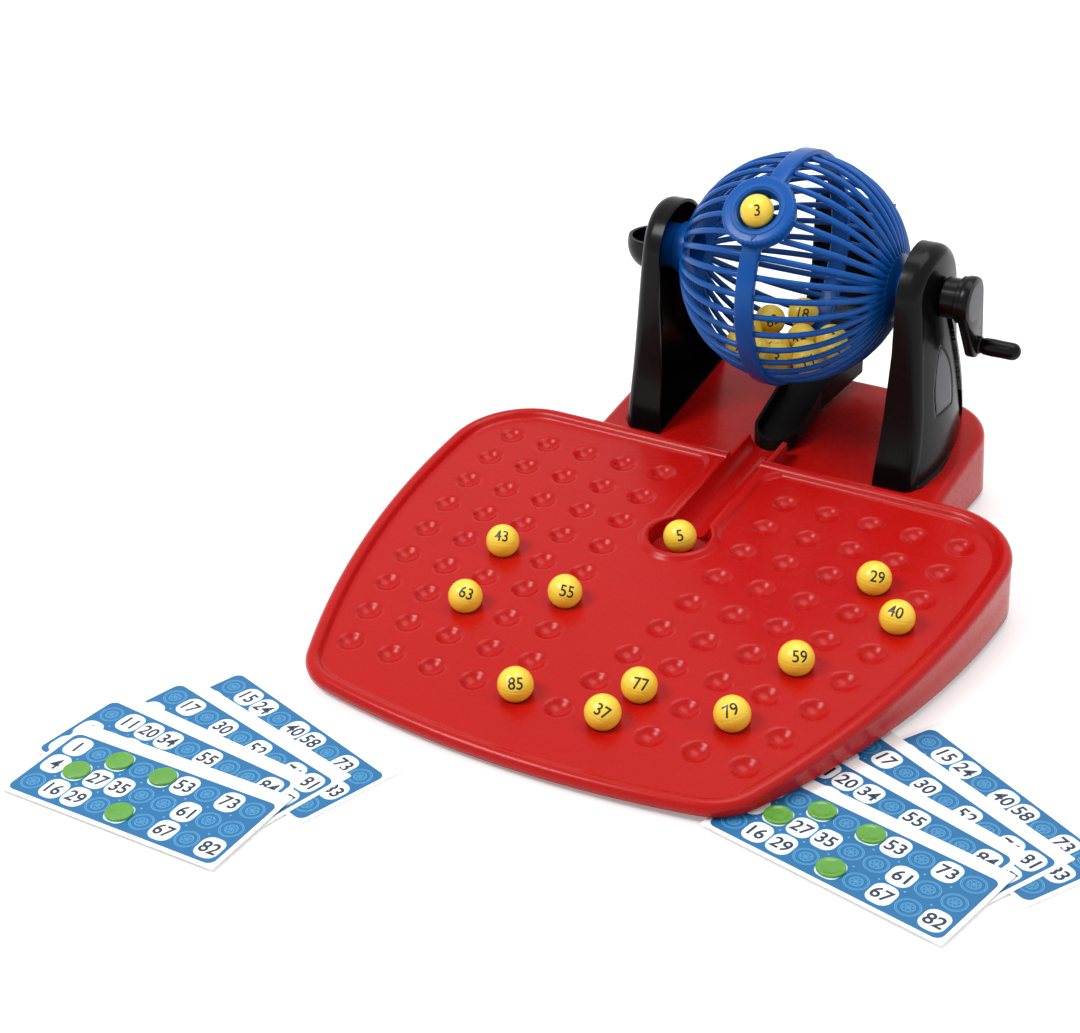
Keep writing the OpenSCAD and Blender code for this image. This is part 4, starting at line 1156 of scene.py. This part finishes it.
# %% A tree that grows the ribs
def cage_rib_tree():
    number = "NodeSocketFloat"
    tree, given, end = new_tree("cage ribs", [
        ("Ribs", "NodeSocketInt"), ("Radius", number), ("First Angle", number), ("Sweep", number),
        ("Rib Width", number), ("Rib Depth", number), ("Gate Axis", "NodeSocketVector"),
        ("Gate Clearance", number), ("Finish", "NodeSocketMaterial")])
    path = add(tree, "GeometryNodeCurveArc", {
        "Resolution": 44, "Radius": given["Radius"], "Start Angle": given["First Angle"],
        "Sweep Angle": given["Sweep"]}, mode="RADIUS")
    round_bar = add(tree, "GeometryNodeCurvePrimitiveCircle", {"Resolution": 14, "Radius": 0.5})
    size = add(tree, "ShaderNodeCombineXYZ", {0: given["Rib Width"], 1: given["Rib Depth"], 2: 1.0})
    section = add(tree, "GeometryNodeTransform",
                  {"Geometry": round_bar.outputs["Curve"], "Scale": size.outputs[0]})
    bar = add(tree, "GeometryNodeCurveToMesh", {
        "Curve": path.outputs["Curve"], "Profile Curve": section.outputs[0], "Fill Caps": True})
    points = add(tree, "GeometryNodePoints", {"Count": given["Ribs"]})
    index = add(tree, "GeometryNodeInputIndex").outputs[0]
    step = number_node(tree, "DIVIDE", 2 * math.pi, given["Ribs"])
    angle = number_node(tree, "MULTIPLY", number_node(tree, "ADD", index, 0.5), step)
    turn = add(tree, "ShaderNodeCombineXYZ", {0: angle})
    ribs = add(tree, "GeometryNodeInstanceOnPoints", {
        "Points": points.outputs[0], "Instance": bar.outputs[0], "Rotation": turn.outputs[0]})
    real = add(tree, "GeometryNodeRealizeInstances", {"Geometry": ribs.outputs[0]})
    place = add(tree, "GeometryNodeInputPosition").outputs[0]
    axis = given["Gate Axis"]
    along = add(tree, "ShaderNodeVectorMath", {0: place, 1: axis}, operation="DOT_PRODUCT").outputs["Value"]
    foot = add(tree, "ShaderNodeVectorMath", {0: axis, "Scale": along}, operation="SCALE").outputs[0]
    away = add(tree, "ShaderNodeVectorMath", {0: place, 1: foot}, operation="DISTANCE").outputs["Value"]
    near = number_node(tree, "MULTIPLY", number_node(tree, "LESS_THAN", away, given["Gate Clearance"]),
                       number_node(tree, "GREATER_THAN", along, 0.0))
    cut = add(tree, "GeometryNodeDeleteGeometry",
              {"Geometry": real.outputs[0], "Selection": near}, domain="POINT")
    close_tree(tree, cut.outputs[0], given["Finish"], end)
    return tree


RIB_TREE = cage_rib_tree()
GATE_LEAN = math.radians(45)
GATE = Vector((0, -math.sin(GATE_LEAN), math.cos(GATE_LEAN)))
CAGE_R, CAGE_IN, CAP_R, RIBS, RIB_MIDDLE, RIB_SWEEP = 65.0, 62.0, 19.0, 36, 1.55, 73.5
for side, node, first in (("right", "cage_right", 14.5), ("left", "cage_left", 92.0)):
    mesh = grown(RIB_TREE, bpy.data.meshes.new("no_base"), {
        "Ribs": RIBS, "Radius": (CAGE_R - RIB_MIDDLE) / MM, "First Angle": math.radians(first),
        "Sweep": math.radians(RIB_SWEEP), "Rib Width": 0.0031, "Rib Depth": 0.0036, "Gate Axis": GATE,
        "Gate Clearance": 0.0172, "Finish": CAGE_BLUE})
    mesh.transform(Matrix.Translation(to_frame([[0, AXLE_Y, AXLE_Z]])[0]))
    keep(mesh, node + "_ribs", "cage", node)
    print(node, "ribs:", len(mesh.polygons), "faces")

# %% [markdown]
# The band, the caps and the journals are turned shapes. They are drawn as (radius, height) about Z and laid
# over so that Z becomes the axle. The band is left open where the gate's seat crosses it.

# %% Band, caps, journals and the gate's seat
def along_axle(points, side=1):
    p = np.asarray(points, dtype=float)
    return np.column_stack([side * p[:, 2], AXLE_Y + p[:, 0], AXLE_Z + p[:, 1]])


def on_gate(points):
    p = np.asarray(points, dtype=float)
    turn = np.array(Matrix.Rotation(GATE_LEAN, 3, "X"))
    return p @ turn.T + (0, AXLE_Y, AXLE_Z)


def soft_loop(w0, w1, h0, h1, r, steps=4):
    """A closed section with rounded corners as (radius, height)."""
    loop = []
    corners = ((w1 - r, h1 - r), (w0 + r, h1 - r), (w0 + r, h0 + r), (w1 - r, h0 + r))
    for (x, y), a0 in zip(corners, (0, 90, 180, 270)):
        bend = np.radians(np.linspace(a0, a0 + 90, steps))
        loop += [(x + r * math.cos(a), y + r * math.sin(a)) for a in bend]
    return loop + loop[:1]


def clear_of_gate(points, faces, reach):
    rel = points - (0, AXLE_Y, AXLE_Z)
    along = rel @ np.array(GATE)
    away = np.linalg.norm(rel - np.outer(along, GATE), axis=1)
    near = (away < reach) & (along > 0)
    return points, [f for f in faces if not all(near[i] for i in f)]


def sphere_arc(r, r0, r1, count):
    return [(q, math.sqrt(r * r - q * q)) for q in np.linspace(r0, r1, count)]


BAND_R, BAND_HALF, BAND_CUT, COLLAR_END = 67.2, 5.2, 17.2, 71.0
band = turned(soft_loop(CAGE_IN, BAND_R, -BAND_HALF, BAND_HALF, 1.3), 240)
shapes = [clear_of_gate(along_axle(band[0]), band[1], BAND_CUT)]
for side, bore, collar, journal, end in ((1, 0.0, 10.4, 5.0, 101.7), (-1, 10.6, 15.0, 13.0, 86.5)):
    cap = sphere_arc(CAGE_R, CAP_R, journal, 14)
    inner_cap = sphere_arc(CAGE_IN, max(bore, 0.001), CAP_R - 0.8, 14)
    cap_edge, inner_edge = (CAP_R, cap[0][1] - 0.8), (CAP_R - 0.2, inner_cap[-1][1] + 0.7)
    start = math.sqrt(CAGE_R ** 2 - collar ** 2)
    outer = [(r, z) for r, z in [cap_edge] + cap if r > collar + 0.6]
    outer += [(collar + 0.5, start + 0.15), (collar, start + 0.7), (collar, COLLAR_END - 0.6),
              (collar - 0.6, COLLAR_END), (journal, COLLAR_END), (journal, end - 0.6), (journal - 0.6, end)]
    if bore:
        tube = [(bore + 0.5, end), (bore, end - 0.5), (bore, inner_cap[0][1])]
        profile = outer + tube + inner_cap + [inner_edge, cap_edge]
    else:
        dome = [(0.0, CAGE_IN)] + [(r, z) for r, z in inner_cap if r > 0.1]
        profile = dome + [inner_edge] + outer + [(0.0, end)]
    p, f = turned(profile, 72)
    shapes.append((along_axle(p, side), f))
seat = turned(soft_loop(15.1, 19.0, CAGE_IN, 68.4, 0.7), 96)
shapes.append((on_gate(seat[0]), seat[1]))
piece("cage_band", *joined(*shapes), [CAGE_BLUE], "cage", slot="cage", sharp=40)
print("band, caps and gate seat made")

# %% [markdown]
# The gate is a ring with a finely toothed edge. Its profile is turned, and only the outer loops take the
# teeth, as a ripple in the radius.

# %% Gate ring
TEETH, TOOTH_DEPTH, TOOTH_FROM, TOOTH_GROWS = 48, 0.45, 19.0, 1.2


def gate():
    low, flange, top, hole = 62.1, 68.9, 72.9, 11.4
    profile = [(hole, low + 1.0), (hole, top - 1.6), (hole + 0.5, top - 0.7), (hole + 1.4, top - 0.4),
               (hole + 1.9, top), (hole + 3.6, top), (hole + 4.2, top - 0.5), (18.6, top - 0.7),
               (19.6, top - 0.9), (20.4, top - 1.5), (20.6, top - 2.2), (20.6, flange + 0.4), (20.2, flange),
               (15.0, flange), (15.0, low), (hole, low)]
    points, faces = turned(profile + profile[:1], 6 * TEETH)
    r = np.hypot(points[:, 0], points[:, 1])
    t = np.arctan2(points[:, 1], points[:, 0])
    ripple = TOOTH_DEPTH * (1 - np.cos(TEETH * t)) / 2
    tooth = np.where(r > TOOTH_FROM, ripple * np.minimum(1, (r - TOOTH_FROM) / TOOTH_GROWS), 0.0)
    points[:, :2] *= ((r - tooth) / r)[:, None]
    bow = [(hole * math.cos(a), hole * math.sin(a)) for a in np.radians(np.linspace(-195, 15, 32))]
    floor = [(x, y, z) for z in (low, low + 1.0) for x, y in bow]
    n = len(bow)
    floor_faces = [list(range(n)), list(range(n, 2 * n))] + between(2, n)
    wedge = [(x, y, z) for z in (top - 0.9, top - 0.15) for x, y in ((1.5, -15.6), (4.8, -15.0), (2.6, -18.4))]
    wedge_faces = [[2, 1, 0], [3, 4, 5]] + between(2, 3)
    return joined((points, faces), (floor, floor_faces), (wedge, wedge_faces))


gate_points, gate_faces = gate()
piece("gate_toothed_ring", on_gate(gate_points), gate_faces, [CAGE_BLUE], "gate", "gate_ring", "cage", sharp=35)
print("gate ring:", TEETH, "teeth")

# %% [markdown]
# ## The crank
# The crank has a turned hub, a flat arm that tapers to its end, a grey disc on the hub and a turned grip. The
# arm is drawn as loops of its side view, further in and further out, which rounds its edges.

# %% Crank
HUB_X, HUB_T, HUB_R, ARM_T, ARM_END_R, ARM_L = 89.8, 17.0, 13.8, 6.0, 7.4, 32.0
ARM_A = math.radians(22)
ARM_END = np.array((AXLE_Y + ARM_L * math.sin(ARM_A), AXLE_Z - ARM_L * math.cos(ARM_A)))


def arm_outline(d):
    hub = np.array((AXLE_Y, AXLE_Z))
    step = ARM_END - hub
    lean = math.asin((HUB_R - ARM_END_R) / ARM_L)
    way = heading(step)
    big, _ = arc(hub, HUB_R - d, way + math.pi / 2 - lean, way - math.pi / 2 + lean + 2 * math.pi, 40)
    small, _ = arc(ARM_END, ARM_END_R - d, way - math.pi / 2 + lean, way + math.pi / 2 - lean, 20)
    return np.vstack([big, small])


arm_x = HUB_X + HUB_T - ARM_T
rows = [(1.2, 0.0), (0.35, 0.35), (0.0, 1.2), (0.0, ARM_T - 1.6), (0.45, ARM_T - 0.5), (1.6, ARM_T)]
arm_points = [(arm_x + x, *p) for d, x in rows for p in arm_outline(d)]
n = len(arm_outline(0))
arm_faces = between(len(rows), n)
arm_faces += [list(range(n))[::-1], list(range((len(rows) - 1) * n, len(rows) * n))]
hub = turned([(5.2, 0.0), (10.6, 0.0), (11.2, 0.6), (11.2, 8.0), (13.0, 9.0), (13.0, 12.0), (5.2, 12.0),
              (5.2, 0.0)], 64)
grip_profile = [(0.0, 3.0), (5.0, 3.0), (5.0, 7.0), (4.3, 7.8), (4.3, 8.6), (4.75, 9.4), (5.0, 14.0),
                (4.85, 20.0), (4.9, 24.2)]
grip_profile += [(4.9 * math.cos(a), 25.0 + 4.9 * math.sin(a)) for a in np.radians(np.linspace(10, 90, 9))]
grip_profile[-1] = (0.0, 29.9)
grip = turned(grip_profile, 48)
grip_points = np.column_stack([arm_x + grip[0][:, 2], *(ARM_END[:, None] + grip[0][:, :2].T)])
handle = joined((arm_points, arm_faces), (along_axle(hub[0] + (0, 0, HUB_X)), hub[1]), (grip_points, grip[1]))
piece("crank_handle", *handle, [STAND_BLACK], "cage", "crank", "stand", sharp=38)
disc = turned([(0.0, -0.5), (10.9, -0.5), (11.1, 0.1), (10.8, 0.45), (9.8, 0.55), (0.0, 0.55)], 56)
piece("crank_disc", along_axle(disc[0] + (0, 0, HUB_X + HUB_T)), disc[1], [PANEL_GREY], "cage", slot="stand",
      sharp=40)
print(len(made), "pieces")

# %% [markdown]
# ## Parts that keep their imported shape
# Some parts already have the right shape, so they only take their finish.

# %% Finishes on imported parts
for node in ("ball_chute", "loading_scoop"):
    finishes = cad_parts[node].data.materials
    finishes.clear()
    finishes.append(CHUTE_BLACK)
print("chute and scoop dressed")
